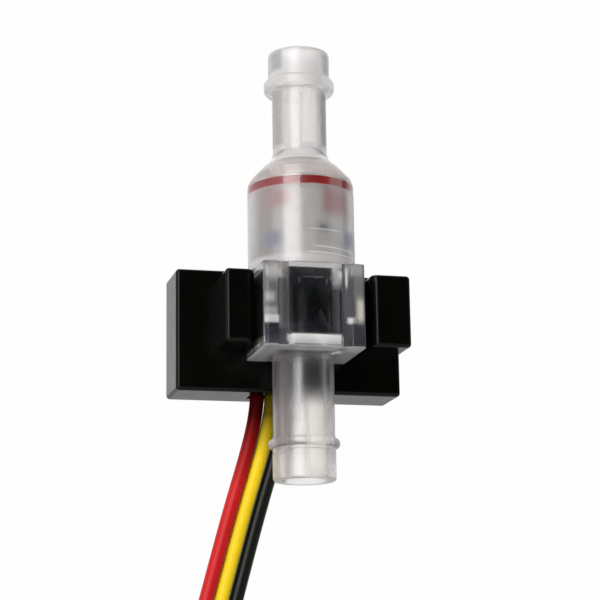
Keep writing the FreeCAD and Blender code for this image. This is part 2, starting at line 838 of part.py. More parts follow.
def make_board_parts():
    """Comparator with its legs, resistors and a capacitor, all on the board's front face."""
    centre = bay_left + size("chip_inset")
    level = roof - size("chip_drop")
    half_long = size("chip_length") / 2
    half_wide = size("chip_width") / 2
    chip_back = board_front - size("chip_lift")
    chip = loose_box("Chip", (centre - half_wide, chip_back - size("chip_height"), level - half_long),
                     (centre + half_wide, chip_back, level + half_long))
    keep("comparator_chip", chip)
    legs = []
    for side in (-1, 1):
        inner = centre + half_wide * side
        outer = inner + size("leg_reach") * side
        low, high = (outer, inner) if side < 0 else (inner, outer)
        for number in range(4):
            up = level + size("leg_pitch") * (number - 1.5)
            legs.append(loose_box(f"Leg{side + 1}{number}",
                                  (low, board_front - size("leg_thickness"), up - size("leg_width") / 2),
                                  (high, board_front, up + size("leg_width") / 2)))
    keep("chip_legs", group("ChipLegs", legs))
    resistors = []
    for number in range(3):
        up = roof - size("end_wall") - size("resistor_pitch") * (number + 1)
        resistors.append(loose_box(f"Resistor{number}",
                                   (centre - size("resistor_length") / 2, board_front - size("resistor_height"), up),
                                   (centre + size("resistor_length") / 2, board_front, up + size("resistor_width"))))
    keep("resistors", group("Resistors", resistors))
    can = loose_round("CapacitorCan", (bay_right - size("capacitor_inset"), board_front - size("capacitor_height"),
                                       roof - size("capacitor_drop")),
                      size("capacitor_height"), size("capacitor_radius"), "y")
    keep("capacitor", can)


def wire_offsets():
    """The three wires from left to right, each with its offset from the middle one."""
    pitch = size("wire_pitch")
    return (("red_wire", -pitch), ("yellow_wire", as_term(0)), ("black_wire", pitch))


def make_wire_outlet():
    """Potted plug in the bottom slot, the bare conductors above it and the solder on the board."""
    gap = size("plug_clearance")
    plug_top = wire_start + size("plug_height")
    keep("wire_seal", loose_box("WireSeal", (slot_left + gap, slot_front + gap, wire_start),
                                (slot_right - gap, board_front - gap, plug_top)))
    pad_level = foot + size("pad_rise")
    radius = size("conductor_radius")
    depth = wire_depth
    conductors = []
    solder = []
    for name, offset in wire_offsets():
        across = size("slot_centre") + offset
        rise = loose_round(f"{name}_rise", (across, depth, plug_top), pad_level - plug_top, radius, "z")
        knee = document.addObject("Part::Sphere", f"{name}_knee")
        bind(knee, "Radius", radius)
        place(knee, (across, depth, pad_level))
        reach = loose_round(f"{name}_reach", (across, depth, pad_level), board_front - depth, radius, "y")
        conductors.append(joined(f"{name}_conductor", [rise, knee, reach]))
        solder.append(solder_cone(f"{name}_solder", across, board_front, pad_level, -1, reach))
    keep("inner_conductors", group("InnerConductors", conductors))
    leads = [lead for _, lead_node, _, _ in diode_sides() for lead in nodes[lead_node].Links]
    for number, (across, up) in enumerate(lead_spots()):
        solder.append(solder_cone(f"Lead{number}Solder", across, board_back, up, 1, leads[number]))
    keep("solder_joints", group("SolderJoints", solder))


def solder_cone(name, across, face, up, side, through):
    """Solder standing on one face of the board round a lead that passes through it."""
    cone = document.addObject("Part::Cone", f"{name}_cone")
    bind(cone, "Radius1", size("solder_radius"))
    bind(cone, "Radius2", size("solder_tip_radius"))
    bind(cone, "Height", size("solder_height"))
    cone.Placement = Placement(Vector(), Rotation(Vector(1, 0, 0), -90 * side))
    place(cone, (across, face, up))
    cut = document.addObject("Part::Cut", name)
    cut.Base = cone
    cut.Tool = through
    return cut


def route_path(points, label):
    """Straight runs joined by tangent arcs, each arc as large as its two runs allow."""
    edges = []
    radii = []
    last = points[0]
    for before, here, after in zip(points, points[1:], points[2:]):
        incoming = here - before
        outgoing = after - here
        turn = incoming.getAngle(outgoing)
        reach = RUN_SHARE * min(incoming.Length, outgoing.Length)
        radii.append(reach / math.tan(turn / 2))
        way_in = Vector(incoming).normalize()
        way_out = Vector(outgoing).normalize()
        start = here - way_in * reach
        end = here + way_out * reach
        inward = (way_out - way_in).normalize()
        depth = radii[-1] / math.cos(turn / 2) - radii[-1]
        edges.append(Part.LineSegment(last, start).toShape())
        edges.append(Part.Arc(start, here + inward * depth, end).toShape())
        last = end
    edges.append(Part.LineSegment(last, points[-1]).toShape())
    print(label, "arc radii", [round(radius, 1) for radius in radii])
    return Part.Wire(edges)


def make_wires():
    """The three insulated wires side by side, each with its stripped and tinned end."""
    radius = size("wire_radius").value
    points = [Vector(*step) for step in WIRE_ROUTE]
    path = route_path(points, "wire")
    section = Part.Wire([Part.Circle(points[0], (points[1] - points[0]).normalize(), radius).toShape()])
    tube = path.makePipeShell([section], True, False)
    wanted = math.pi * radius * radius * path.Length
    print("wire length", round(path.Length, 2), "volume", round(tube.Volume, 2), "of", round(wanted, 2))
    last_way = points[-1] - points[-2]
    for name, offset in wire_offsets():
        across = size("slot_centre") + offset
        start = Vector(across.value, wire_depth.value, wire_start.value)
        wire = document.addObject("Part::Feature", name)
        wire.Shape = tube
        wire.Placement = Placement(start, Rotation())
        keep(name, wire)
        end = document.addObject("Part::Cylinder", f"{name}_tinned")
        end.Placement = Placement(start + points[-1], Rotation(Vector(0, 0, 1), last_way))
        bind(end, "Radius", size("tinned_radius"))
        bind(end, "Height", size("tinned_length"))
        keep(f"{name}_end", end)


def make_tie():
    """Small tie round the folded wires."""
    body = new_body("WireTie")
    gap = size("tie_clearance")
    wall = size("tie_wall")
    half_wide = size("wire_pitch") + size("wire_radius") + gap
    half_deep = size("tie_depth") / 2 + gap
    centre = size("slot_centre") + size("tie_shift")
    depth = wire_depth
    level = wire_start - size("tie_drop")
    low = level - size("tie_height") / 2
    high = low + size("tie_height")
    box_in(body, "Band", (centre - half_wide - wall, depth - half_deep - wall, low),
           (centre + half_wide + wall, depth + half_deep + wall, high))
    fillet_in(body, "BandCorners", size("tie_round"), lambda spot, way: abs(way.z) > 0.99)
    box_in(body, "Inside", (centre - half_wide, depth - half_deep, low - 1),
           (centre + half_wide, depth + half_deep, high + 1), cut=True)
    head_low = level - size("tie_head_height") / 2
    head = size("tie_head_width") / 2
    start = depth + half_deep
    box_in(body, "Head", (centre - head, start + wall / 2, head_low),
           (centre + head, start + wall + size("tie_head_depth"), head_low + size("tie_head_height")))
    keep("wire_tie", body)


make_inlet_cap()
make_flow_body()
make_seal_ring()
make_rotor()
make_axle_and_bearings()
make_spider()
make_straightener()
make_housing()
make_cover()
make_diodes()
make_board()
make_board_parts()
make_wire_outlet()
make_wires()
make_tie()
document.recompute()

faults = []
for thing in document.Objects:
    if "Invalid" in thing.State or "Error" in thing.State:
        faults.append(f"{thing.Label}: {thing.State}")
for node, thing in nodes.items():
    if thing.Shape.isNull() or not thing.Shape.isValid() or not thing.Shape.Solids:
        faults.append(f"{node}: shape is not sound")
if faults:
    raise RuntimeError("; ".join(faults))

os.makedirs("parts", exist_ok=True)
for node, thing in nodes.items():
    thing.Shape.exportStep(f"parts/{node}.step")
    extent = thing.Shape.BoundBox
    print(f"{node}: {len(thing.Shape.Solids)} solid, {thing.Shape.Volume:.1f} cubic mm,",
          f"x {extent.XMin:.2f} {extent.XMax:.2f}, y {extent.YMin:.2f} {extent.YMax:.2f},",
          f"z {extent.ZMin:.2f} {extent.ZMax:.2f}")
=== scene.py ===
"""Looks of the in-line water flow sensor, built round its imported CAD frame.

The clear flow line is lathed again at a finer step than the CAD's facets, so that it refracts cleanly. The
black pickup, its board and the turbine keep their CAD meshes and get moulded, metal and lacquer finishes. The
three wires run on smooth curves through the route's points.
"""

import logging
import math
from dataclasses import dataclass, field
from enum import Enum
from typing import Any, Optional, Sequence

import bmesh
import bpy
from mathutils import Matrix, Vector

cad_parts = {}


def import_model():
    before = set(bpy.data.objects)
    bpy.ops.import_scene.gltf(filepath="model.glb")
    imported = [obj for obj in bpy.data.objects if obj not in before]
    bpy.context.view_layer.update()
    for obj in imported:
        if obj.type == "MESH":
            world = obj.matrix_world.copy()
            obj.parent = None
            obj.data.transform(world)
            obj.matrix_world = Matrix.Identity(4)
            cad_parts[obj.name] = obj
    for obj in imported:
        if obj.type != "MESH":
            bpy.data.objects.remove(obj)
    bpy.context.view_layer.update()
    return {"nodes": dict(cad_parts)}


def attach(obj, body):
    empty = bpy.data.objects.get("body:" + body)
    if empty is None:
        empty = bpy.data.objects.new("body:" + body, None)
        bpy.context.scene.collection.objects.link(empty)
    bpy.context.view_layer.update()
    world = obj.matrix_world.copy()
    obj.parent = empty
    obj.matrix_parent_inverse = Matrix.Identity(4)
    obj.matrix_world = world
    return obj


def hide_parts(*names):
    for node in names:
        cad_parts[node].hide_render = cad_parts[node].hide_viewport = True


LOG = logging.getLogger("flow_sensor")
MM = 0.001
WIRE_PITCH = 2.45
Point = tuple[float, float]
Triple = tuple[float, float, float]
Piece = bpy.types.Object


class Body(str, Enum):
    """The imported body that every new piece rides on."""

    FRAME = "body"


class Slot(str, Enum):
    """The record's material slots."""

    CLEAR = "clear_plastic"
    SEAL = "red_silicone"
    RED = "wire_red"
    YELLOW = "wire_yellow"
    BLACK = "wire_black"


# ------ finishes


class Graph:
    """The nodes of one material or world, added one by one."""

    def __init__(self, tree: bpy.types.NodeTree) -> None:
        """Take the tree that the nodes go into."""
        self.tree = tree

    def add(self, kind: str, inputs: Optional[dict[Any, Any]] = None, **settings: Any) -> Any:
        """Add a node, set it up and feed it.

        Args:
            kind: the shader node's type.
            inputs: what each input takes, by name or number.
            settings: the node's own properties, such as its operation.

        Returns:
            The node.
        """
        made = self.tree.nodes.new(f"ShaderNode{kind}")
        for name, value in settings.items():
            setattr(made, name, value)
        self.feed(made, inputs or {})
        return made

    def feed(self, node: Any, inputs: dict[Any, Any]) -> None:
        """Feed a node.

        Args:
            node: the node.
            inputs: a socket to link or a plain value for each input, by its name or number.
        """
        for name, value in inputs.items():
            if isinstance(value, bpy.types.NodeSocket):
                self.tree.links.new(value, node.inputs[name])
            else:
                node.inputs[name].default_value = value


@dataclass(frozen=True)
class Surface:
    """What every finish has.

    Attributes:
        name: name of the material.
    """

    name: str

    def material(self) -> bpy.types.Material:
        """Build the material, or return the one already built.

        Returns:
            The material.
        """
        made = bpy.data.materials.get(self.name)
        if made is None:
            made = bpy.data.materials.new(self.name)
            made.use_nodes = True
            self.paint(Graph(made.node_tree))
        return made

    def paint(self, graph: Graph) -> None:
        """Lay the finish's nodes."""
        raise NotImplementedError


@dataclass(frozen=True)
class Finish(Surface):
    """A surface with one base colour and procedural unevenness.

    Attributes:
        colour: linear base colour.
        roughness: mean roughness.
        metallic: 1 for metals.
        mottle: how far the colour varies, as a share of itself.
        mottle_scale: size of the variation, in cells per metre.
        grain: strength of the fine bump.
        grain_scale: size of the bump, in cells per metre.
        rough_spread: how far the roughness varies.
        coat: weight of a clear coat.
        specular: specular level of the base.
        subsurface: weight of light carried under the surface.
        shade: painted shade, which darkens the colour and dulls its gleam: a level where the colour is
            darkest, one where it is full, and the darkest share of it.
    """

    colour: Triple
    roughness: float = 0.4
    metallic: float = 0.0
    mottle: float = 0.1
    mottle_scale: float = 300.0
    grain: float = 0.1
    grain_scale: float = 6000.0
    rough_spread: float = 0.08
    coat: float = 0.0
    specular: float = 0.5
    subsurface: float = 0.0
    shade: Optional[Triple] = None

    def paint(self, graph: Graph) -> None:
        """Lay noise driven colour, roughness and bump, and the painted shade if there is one.

        Args:
            graph: the material's nodes.
        """
        shader = graph.tree.nodes["Principled BSDF"]
        graph.feed(shader, {"Metallic": self.metallic, "Specular IOR Level": self.specular,
                            "Coat Weight": self.coat, "Coat Roughness": 0.08})
        if self.subsurface:
            graph.feed(shader, {"Subsurface Weight": self.subsurface, "Subsurface Scale": 0.4,
                                "Subsurface Radius": (0.001, 0.0006, 0.0004)})
        where = graph.add("TexCoord").outputs["Object"]
        clouds = graph.add("TexNoise", {"Scale": self.mottle_scale, "Detail": 4.0, "Vector": where})
        dark = tuple(max(0.0, c * (1 - self.mottle)) for c in self.colour)
        light = tuple(min(1.0, c * (1 + self.mottle)) for c in self.colour)
        tint = graph.add("Mix", {"A": (*dark, 1), "B": (*light, 1), "Factor": clouds.outputs["Fac"]},
                         data_type="RGBA")
        colour = tint.outputs["Result"]
        if self.shade is not None:
            colour = self.shaded(graph, where, colour, shader)
        spread = graph.add("MapRange", {
            "To Min": max(0.02, self.roughness - self.rough_spread),
            "To Max": min(1.0, self.roughness + self.rough_spread),
            "Value": clouds.outputs["Fac"],
        })
        grain = graph.add("TexNoise", {"Scale": self.grain_scale, "Detail": 2.0, "Vector": where})
        bump = graph.add("Bump", {"Strength": self.grain, "Distance": 0.02 * MM,
                                  "Height": grain.outputs["Fac"]})
        graph.feed(shader, {"Base Color": colour, "Roughness": spread.outputs["Result"],
                            "Normal": bump.outputs["Normal"]})

    def shaded(self, graph: Graph, where: Any, colour: Any, shader: Any) -> Any:
        """Paint shade: deepen a colour towards a level, and dull its gleam there.

        Args:
            graph: the material's nodes.
            where: the socket of the point's place.
            colour: the socket of the colour.
            shader: the shader whose gleam is dulled.

        Returns:
            The socket of the deepened colour.
        """
        dark, full, share = self.shade
        split = graph.add("SeparateXYZ", {"Vector": where})
        level = graph.add("MapRange", {
            "From Min": dark * MM, "From Max": full * MM, "To Min": share, "Value": split.outputs["Z"],
        }).outputs["Result"]
        gleam = graph.add("Math", {0: level, 1: self.specular}, operation="MULTIPLY")
        graph.feed(shader, {"Specular IOR Level": gleam.outputs["Value"]})
        deeper = graph.add("VectorMath", {0: colour, "Scale": level}, operation="SCALE")
        return deeper.outputs["Vector"]


WIDE = (-30.0, 30.0)


@dataclass(frozen=True)
class Zone:
    """A region of a clear moulding whose surface differs from the rest; most zones paint light and shade into
    its haze.

    Attributes:
        up: its lowest and highest level in millimetres.
        soft: how far its borders fade.
        haze: share of light scattered there, or the weight of the gloss there.
        roughness: blur of the light passed there.
        across: its reach along X.
        deep: its reach along Y.
        colour: colour of the light scattered there, if it differs, which paints light and shade there.
        blur: how far its borders along X fade.
        deep_blur: how far its borders along Y fade.
    """

    up: Point
    soft: float
    haze: float
    roughness: float
    across: Point = WIDE
    deep: Point = WIDE
    colour: Optional[Triple] = None
    blur: float = 0.12
    deep_blur: float = 0.2


@dataclass(frozen=True)
class ClearFinish(Surface):
    """A clear moulded plastic with flow marks and a share of haze, whose zones paint light and shade into
    that haze.

    Attributes:
        tint: colour that the plastic gives to what passes through.
        roughness: blur of the transmitted light.
        index: refractive index.
        haze: share of light that the plastic scatters.
        haze_colour: colour of the scattered light.
        waviness: strength of the wavy bump that moulding leaves.
        cloudiness: how unevenly the haze lies.
        gloss: weight of a softer second reflection over a blurred surface.
        shine: bands with their own weight of that reflection.
        zones: bands with their own haze and roughness, and with their own haze colour where light and shade
            are painted.
    """

    tint: Triple = (0.97, 0.98, 0.98)
    roughness: float = 0.04
    index: float = 1.49
    haze: float = 0.1
    haze_colour: Triple = (0.8, 0.8, 0.8)
    waviness: float = 0.05
    cloudiness: float = 0.3
    gloss: float = 0.0
    shine: tuple[Zone, ...] = ()
    zones: tuple[Zone, ...] = ()

    def paint(self, graph: Graph) -> None:
        """Lay a refracting shader with a thin share of scattered light over it, coloured with the zones'
        painted light and shade.

        Args:
            graph: the material's nodes.
        """
        glass = graph.tree.nodes["Principled BSDF"]
        where = graph.add("TexCoord").outputs["Object"]
        waves = graph.add("TexNoise", {"Scale": 350.0, "Detail": 2.0, "Vector": where}).outputs["Fac"]
        bump = graph.add("Bump", {"Strength": self.waviness, "Distance": 0.1 * MM, "Height": waves})
        place = graph.add("SeparateXYZ", {"Vector": where})
        shade: Any = (*self.haze_colour, 1)
        haze, rough = self.spread(graph, waves, self.haze), self.spread(graph, waves, self.roughness)
        for zone in self.zones:
            inside = self.inside(graph, place, zone)
            haze = self.blend(graph, haze, zone.haze, inside)
            rough = self.blend(graph, rough, zone.roughness, inside)
            if zone.colour is not None:
                shade = self.blend(graph, shade, (*zone.colour, 1), inside)
        gloss: Any = self.gloss
        for zone in self.shine:
            gloss = self.blend(graph, gloss, zone.haze, self.inside(graph, place, zone))
        graph.feed(glass, {"Base Color": (*self.tint, 1), "IOR": self.index, "Transmission Weight": 1.0,
                           "Coat Weight": gloss, "Coat Roughness": 0.28, "Roughness": rough,
                           "Normal": bump.outputs["Normal"]})
        # the haze colour carries the zones' painted light and shade into a translucent and a diffuse part
        veil = graph.add("BsdfTranslucent", {"Color": shade})
        diffuse_haze_and_painted_light = graph.add("BsdfDiffuse", {"Color": shade})
        both = graph.add("MixShader", {"Fac": 0.5, 1: veil.outputs["BSDF"], 2: diffuse_haze_and_painted_light.outputs["BSDF"]})
        mix = graph.add("MixShader", {"Fac": haze, 1: glass.outputs["BSDF"], 2: both.outputs["Shader"]})
        graph.feed(graph.tree.nodes["Material Output"], {"Surface": mix.outputs["Shader"]})

    def spread(self, graph: Graph, waves: Any, mean: float) -> Any:
        """Vary a value with the flow marks.

        Args:
            graph: the material's nodes.
            waves: the socket of the noise that the flow marks follow.
            mean: the value's mean.

        Returns:
            The socket that carries the value.
        """
        return graph.add("MapRange", {
            "From Min": 0.3, "From Max": 0.7, "To Min": mean * (1 - self.cloudiness),
            "To Max": mean * (1 + self.cloudiness), "Value": waves,
        }).outputs["Result"]

    def inside(self, graph: Graph, place: Any, zone: Zone) -> Any:
        """Tell how far a point lies inside a zone.

        Args:
            graph: the material's nodes.
            place: the node that splits the point's place.
            zone: the zone.

        Returns:
            The socket that carries 0 outside and 1 inside.
        """
        share = None
        for axis, reach, soft in (("X", zone.across, zone.blur), ("Y", zone.deep, zone.deep_blur),
                                  ("Z", zone.up, zone.soft)):
            if reach == WIDE:
                continue
            for edge, sign in ((reach[0], 1), (reach[1], -1)):
                side = graph.add("MapRange", {
                    "From Min": (edge - sign * soft) * MM, "From Max": (edge + sign * soft) * MM,
                    "Value": place.outputs[axis],
                }, interpolation_type="SMOOTHSTEP").outputs["Result"]
                if share is not None:
                    both = graph.add("Math", {0: share, 1: side}, operation="MULTIPLY")
                    side = both.outputs["Value"]
                share = side
        return share

    def blend(self, graph: Graph, base: Any, value: Any, share: Any) -> Any:
        """Go from a value or colour to another.

        Args:
            graph: the material's nodes.
            base: the value outside, or its socket.
            value: the fixed value inside.
            share: the socket that tells how far inside.

        Returns:
            The socket of the blended value.
        """
        kind = "RGBA" if isinstance(value, tuple) else "FLOAT"
        mix = graph.add("Mix", {"Factor": share, "A": base, "B": value}, data_type=kind)
        return mix.outputs["Result"]


# reaches along Y that several zones share, in millimetres
FRONT = (-9.0, -0.5)
FACE = (-9.0, -8.0)
FLANKS = (-9.0, 1.5)
SIDES = (-9.0, 2.0)
NEAR = (-9.0, -2.0)
# reaches along Z that several zones share, in millimetres
NECK = (-14.0, -4.5)
CROWN = (-20.4, -18.4)
BLOCK = (-48.4, -34.9)
UNDERSIDE = (-49.0, -48.2)
# left sides of the crown's upright streaks, and their width
STREAKS = (-6.1, -5.5, -5.1, -4.4, -1.5, -1.1, -0.4, 0.1, 0.8, 1.3, 1.7, 2.4, 2.9, 3.5, 4.4, 4.9, 5.6)
STREAK_WIDTH = 0.1
CAP_ZONES = (
    # flare, neck and tip as a whole
    Zone((-17.5, -15.0), 0.8, 0.12, 0.12),
    Zone(NECK, 0.4, 0.2, 0.25),
    Zone((-4.6, 2.4), 0.3, 0.28, 0.3),
    # painted shade on the grey flanks and a painted highlight down the bright middle of the neck and the tip
    Zone(NECK, 0.5, 0.58, 0.25, (2.6, 4.2), FRONT, (0.3, 0.31, 0.36), 0.5),
    Zone(NECK, 0.5, 0.58, 0.25, (-4.7, -3.4), FLANKS, (0.36, 0.35, 0.34), 0.4),
    Zone(NECK, 0.5, 0.45, 0.25, (-0.6, 1.8), FRONT, (0.93, 0.92, 0.9), 0.5),
    Zone((-2.0, 1.7), 0.8, 0.6, 0.3, (2.9, 4.6), FRONT, (0.32, 0.32, 0.36), 0.6),
    Zone((-1.5, 1.9), 0.8, 0.6, 0.3, (-5.0, -3.6), FLANKS, (0.28, 0.3, 0.3), 0.4),
    # painted shade on the grey flanks of the cylinder
    Zone((-34.0, -22.2), 0.8, 0.5, 0.2, (-8.2, -5.9), SIDES, (0.42, 0.4, 0.39), 0.6),
    Zone((-34.5, -22.2), 0.8, 0.5, 0.2, (7.3, 9.0), SIDES, (0.46, 0.43, 0.42), 0.5),
    # painted reflection of the red ring below it
    Zone((-26.8, -22.4), 1.2, 0.42, 0.2, (1.4, 6.2), FRONT, (0.5, 0.3, 0.31), 1.0),
    Zone((-25.8, -22.6), 1.2, 0.42, 0.2, (-7.2, -3.6), FRONT, (0.55, 0.38, 0.38), 1.0),
    # painted shade in smoky patches where what lies inside shows through
    Zone((-32.0, -29.4), 0.9, 0.5, 0.2, (-7.4, -4.8), FRONT, (0.33, 0.34, 0.4), 1.0),
    Zone((-30.0, -28.2), 0.9, 0.45, 0.2, (0.4, 2.6), FRONT, (0.3, 0.3, 0.31), 0.8),
    Zone((-31.8, -29.0), 1.0, 0.55, 0.2, (5.2, 8.2), FRONT, (0.33, 0.34, 0.44), 0.9),
    # crown, with painted shade on its left, a painted highlight in its middle, and its upright streaks and
    # rim
    Zone(CROWN, 0.2, 0.5, 0.25, WIDE, FRONT, (0.64, 0.56, 0.53)),
    Zone(CROWN, 0.2, 0.5, 0.25, (-8.0, -6.0), FRONT, (0.42, 0.38, 0.37), 0.6),
    Zone(CROWN, 0.2, 0.5, 0.25, (-4.2, -1.8), FRONT, (0.92, 0.86, 0.83), 0.6),
    *(Zone((-20.3, -18.6), 0.25, 0.42, 0.25, (x, x + STREAK_WIDTH), FRONT, (0.86, 0.83, 0.81), 0.14)
      for x in STREAKS),
    Zone((-18.42, -18.28), 0.08, 0.5, 0.25, WIDE, FRONT, (0.46, 0.44, 0.43)),
    # pale foot and thread lines
    Zone((-34.9, -33.4), 0.5, 0.5, 0.2, WIDE, FRONT, (0.8, 0.78, 0.78)),
    Zone((-32.35, -32.2), 0.09, 0.85, 0.2, (0.0, 7.0), FRONT, (0.85, 0.84, 0.83), 1.0),
    Zone((-33.3, -33.15), 0.09, 0.85, 0.2, (-1.0, 7.0), FRONT, (0.85, 0.84, 0.83), 1.0),
    Zone((-29.55, -29.4), 0.09, 0.7, 0.2, (-0.5, 4.2), FRONT, (0.8, 0.8, 0.8), 1.0),
    # clear band in front of the seal ring
    Zone((-22.0, -20.45), 0.06, 0.0, 0.14),
)
CAP_CLEAR = ClearFinish(
    "clear_cap", tint=(0.95, 0.94, 0.94), roughness=0.2, haze=0.3, haze_colour=(0.76, 0.74, 0.73),
    waviness=0.01, cloudiness=0.1, gloss=0.25,
    shine=(Zone((-36.0, -17.0), 1.5, 1.0, 0.0), Zone((-22.9, -20.3), 0.2, 0.5, 0.0)),
    zones=CAP_ZONES,
)
BODY_ZONES = (
    # block as a whole, then the window from its middle out: painted shade over it, and painted highlights in
    # strips along its top and bottom and in a patch at its upper right
    Zone((-49.3, -34.0), 0.15, 0.0, 0.02),
    Zone((-46.2, -34.9), 0.2, 0.3, 0.06, (-4.3, 4.3), FACE, (0.018, 0.021, 0.032)),
    Zone((-44.0, -38.8), 1.5, 0.38, 0.06, (-4.3, 3.2), FACE, (0.003, 0.005, 0.005), 0.8),
    Zone((-38.6, -35.6), 0.5, 0.8, 0.1, (-4.3, 3.2), FACE, (0.016, 0.016, 0.021), 0.4),
    Zone((-46.3, -39.0), 0.8, 0.6, 0.3, (2.7, 4.3), FACE, (0.05, 0.053, 0.065), 0.5),
    Zone((-35.75, -34.95), 0.08, 0.75, 0.3, (-4.3, 4.3), FACE, (0.6, 0.58, 0.58)),
    Zone((-38.8, -35.4), 0.9, 0.5, 0.3, (2.8, 4.3), FACE, (0.55, 0.56, 0.56), 0.4),
    Zone((-48.0, -46.4), 0.16, 0.8, 0.3, (-3.9, 4.1), FACE, (0.86, 0.85, 0.84), 0.2),
    # left groove and strip: painted shade, with bands of painted light on them
    Zone(BLOCK, 0.4, 0.5, 0.3, (-6.0, -4.35), FACE, (0.03, 0.03, 0.045)),
    Zone((-37.4, -34.9), 0.9, 0.5, 0.3, (-6.0, -4.35), FACE, (0.22, 0.21, 0.23)),
    Zone(BLOCK, 0.3, 0.5, 0.25, (-8.3, -6.0), FACE, (0.03, 0.03, 0.045)),
    Zone((-42.9, -34.9), 0.8, 0.5, 0.3, (-8.3, -6.0), FACE, (0.28, 0.27, 0.29)),
    Zone((-38.0, -34.9), 0.9, 0.5, 0.3, (-7.4, -6.0), FACE, (0.62, 0.61, 0.61)),
    Zone((-37.4, -35.7), 0.5, 0.7, 0.3, (-7.9, -5.4), FACE, (0.56, 0.54, 0.52), 0.4),
    Zone((-41.4, -40.0), 0.7, 0.7, 0.3, (-8.1, -6.5), FACE, (0.58, 0.57, 0.56), 0.5),
    Zone((-43.6, -42.3), 0.5, 0.7, 0.3, (-8.3, -6.1), FACE, (0.48, 0.47, 0.46), 0.4),
    Zone((-44.8, -43.5), 0.3, 0.75, 0.3, (-8.4, -5.7), FACE, (0.75, 0.75, 0.76), 0.3),
    Zone((-48.3, -45.5), 0.4, 0.85, 0.3, (-8.1, -4.6), FACE, (0.035, 0.035, 0.05), 0.2),
    # faint painted highlight of an arch in the window
    Zone((-37.35, -37.25), 0.07, 0.35, 0.1, (-2.1, 1.3), FACE, (0.3, 0.31, 0.32), 0.3),
    Zone((-38.3, -37.5), 0.25, 0.3, 0.1, (-2.65, -2.5), FACE, (0.3, 0.31, 0.32), 0.08),
    Zone((-38.3, -37.5), 0.25, 0.3, 0.1, (1.75, 1.9), FACE, (0.3, 0.31, 0.32), 0.08),
    # right groove and strip: painted shade, with painted light on them and painted highlights in a streak, a
    # spot and a slit
    Zone(BLOCK, 0.6, 0.5, 0.3, (4.4, 6.0), FACE, (0.05, 0.05, 0.07)),
    Zone((-44.3, -34.9), 0.9, 0.5, 0.3, (4.4, 6.0), FACE, (0.21, 0.21, 0.23)),
    Zone(BLOCK, 0.4, 0.45, 0.25, (6.0, 8.3), FACE, (0.09, 0.09, 0.12)),
    Zone((-44.4, -34.9), 0.8, 0.5, 0.3, (6.2, 7.9), FACE, (0.34, 0.33, 0.34), 0.3),
    Zone((-44.2, -40.6), 0.9, 0.8, 0.3, (6.7, 7.9), FACE, (0.74, 0.71, 0.62), 0.4),
    Zone((-36.8, -34.9), 0.7, 0.65, 0.3, (4.8, 7.9), FACE, (0.5, 0.49, 0.5), 0.4),
    Zone((-44.5, -43.5), 0.3, 0.8, 0.3, (5.2, 6.5), (-8.5, -7.5), (0.85, 0.85, 0.85), 0.25),
    Zone((-38.6, -35.6), 0.6, 0.75, 0.3, (4.95, 5.35), (-8.4, -7.5), (0.85, 0.85, 0.85)),
    # underside, its corners and edges, and the left face: painted light over the underside and brighter along
    # its edges, painted shade in its middle and on the left face
    Zone(UNDERSIDE, 0.15, 0.62, 0.25, WIDE, WIDE, (0.8, 0.78, 0.8)),
    Zone(UNDERSIDE, 0.15, 0.4, 0.25, (-4.4, 3.4), (-5.4, 4.0), (0.14, 0.13, 0.14), 1.0),
    Zone(UNDERSIDE, 0.1, 0.72, 0.25, (4.6, 9.0), (-9.0, 3.0), (0.9, 0.89, 0.9), 0.8),
    Zone(UNDERSIDE, 0.1, 0.92, 0.25, (-6.0, 4.6), (-8.4, -5.9), (0.97, 0.95, 0.95), 1.4),
    Zone(UNDERSIDE, 0.1, 0.85, 0.25, WIDE, (7.6, 9.0), (0.92, 0.92, 0.92)),
    Zone(UNDERSIDE, 0.1, 0.85, 0.25, (-9.0, -7.2), WIDE, (0.92, 0.92, 0.92), 0.5),
    Zone((-47.6, -36.2), 0.4, 0.75, 0.25, (-9.0, -8.1), (-7.7, 9.0), (0.004, 0.004, 0.004), 0.05),
    Zone(UNDERSIDE, 0.1, 0.7, 0.25, (7.5, 9.0), WIDE, (0.76, 0.76, 0.76)),
    Zone(UNDERSIDE, 0.1, 0.9, 0.25, (-9.0, -5.6), WIDE, (0.95, 0.95, 0.94), 0.8),
    Zone((-48.45, -48.12), 0.07, 0.75, 0.25, WIDE, (-9.0, -7.9), (0.86, 0.86, 0.87)),
    # outlet tail: as a whole, the painted shade of its dark top and flanks, a painted highlight line, the
    # painted light of its bright core, and its bead line
    Zone((-70.0, -48.6), 0.2, 0.12, 0.28, WIDE, WIDE, (0.78, 0.76, 0.75)),
    Zone((-55.0, -48.6), 2.5, 0.22, 0.24, WIDE, WIDE, (0.07, 0.07, 0.085)),
    Zone((-64.0, -49.0), 2.0, 0.45, 0.26, (-5.2, -2.9), SIDES, (0.2, 0.17, 0.17), 0.8),
    Zone((-66.0, -49.0), 2.0, 0.4, 0.26, (3.5, 5.2), SIDES, (0.36, 0.35, 0.36), 0.5),
    Zone((-60.0, -49.4), 1.5, 0.45, 0.26, (-2.2, -1.5), NEAR, (0.62, 0.61, 0.62), 0.3),
    Zone((-67.4, -56.0), 1.5, 0.5, 0.22, (-0.6, 2.5), NEAR, (0.96, 0.93, 0.87), 0.6),
    Zone((-63.68, -63.55), 0.08, 0.45, 0.26, (-3.4, 2.0), NEAR, (0.42, 0.41, 0.42), 0.8),
)
CLEAR = ClearFinish(
    "clear_moulding", tint=(0.95, 0.94, 0.94), roughness=0.16, haze=0.03, haze_colour=(0.8, 0.8, 0.82),
    waviness=0.01, cloudiness=0.1,
    zones=BODY_ZONES,
)
INSERT = Finish("insert_nylon", (0.8, 0.78, 0.75), 0.45, mottle=0.2, mottle_scale=260.0, subsurface=0.3)
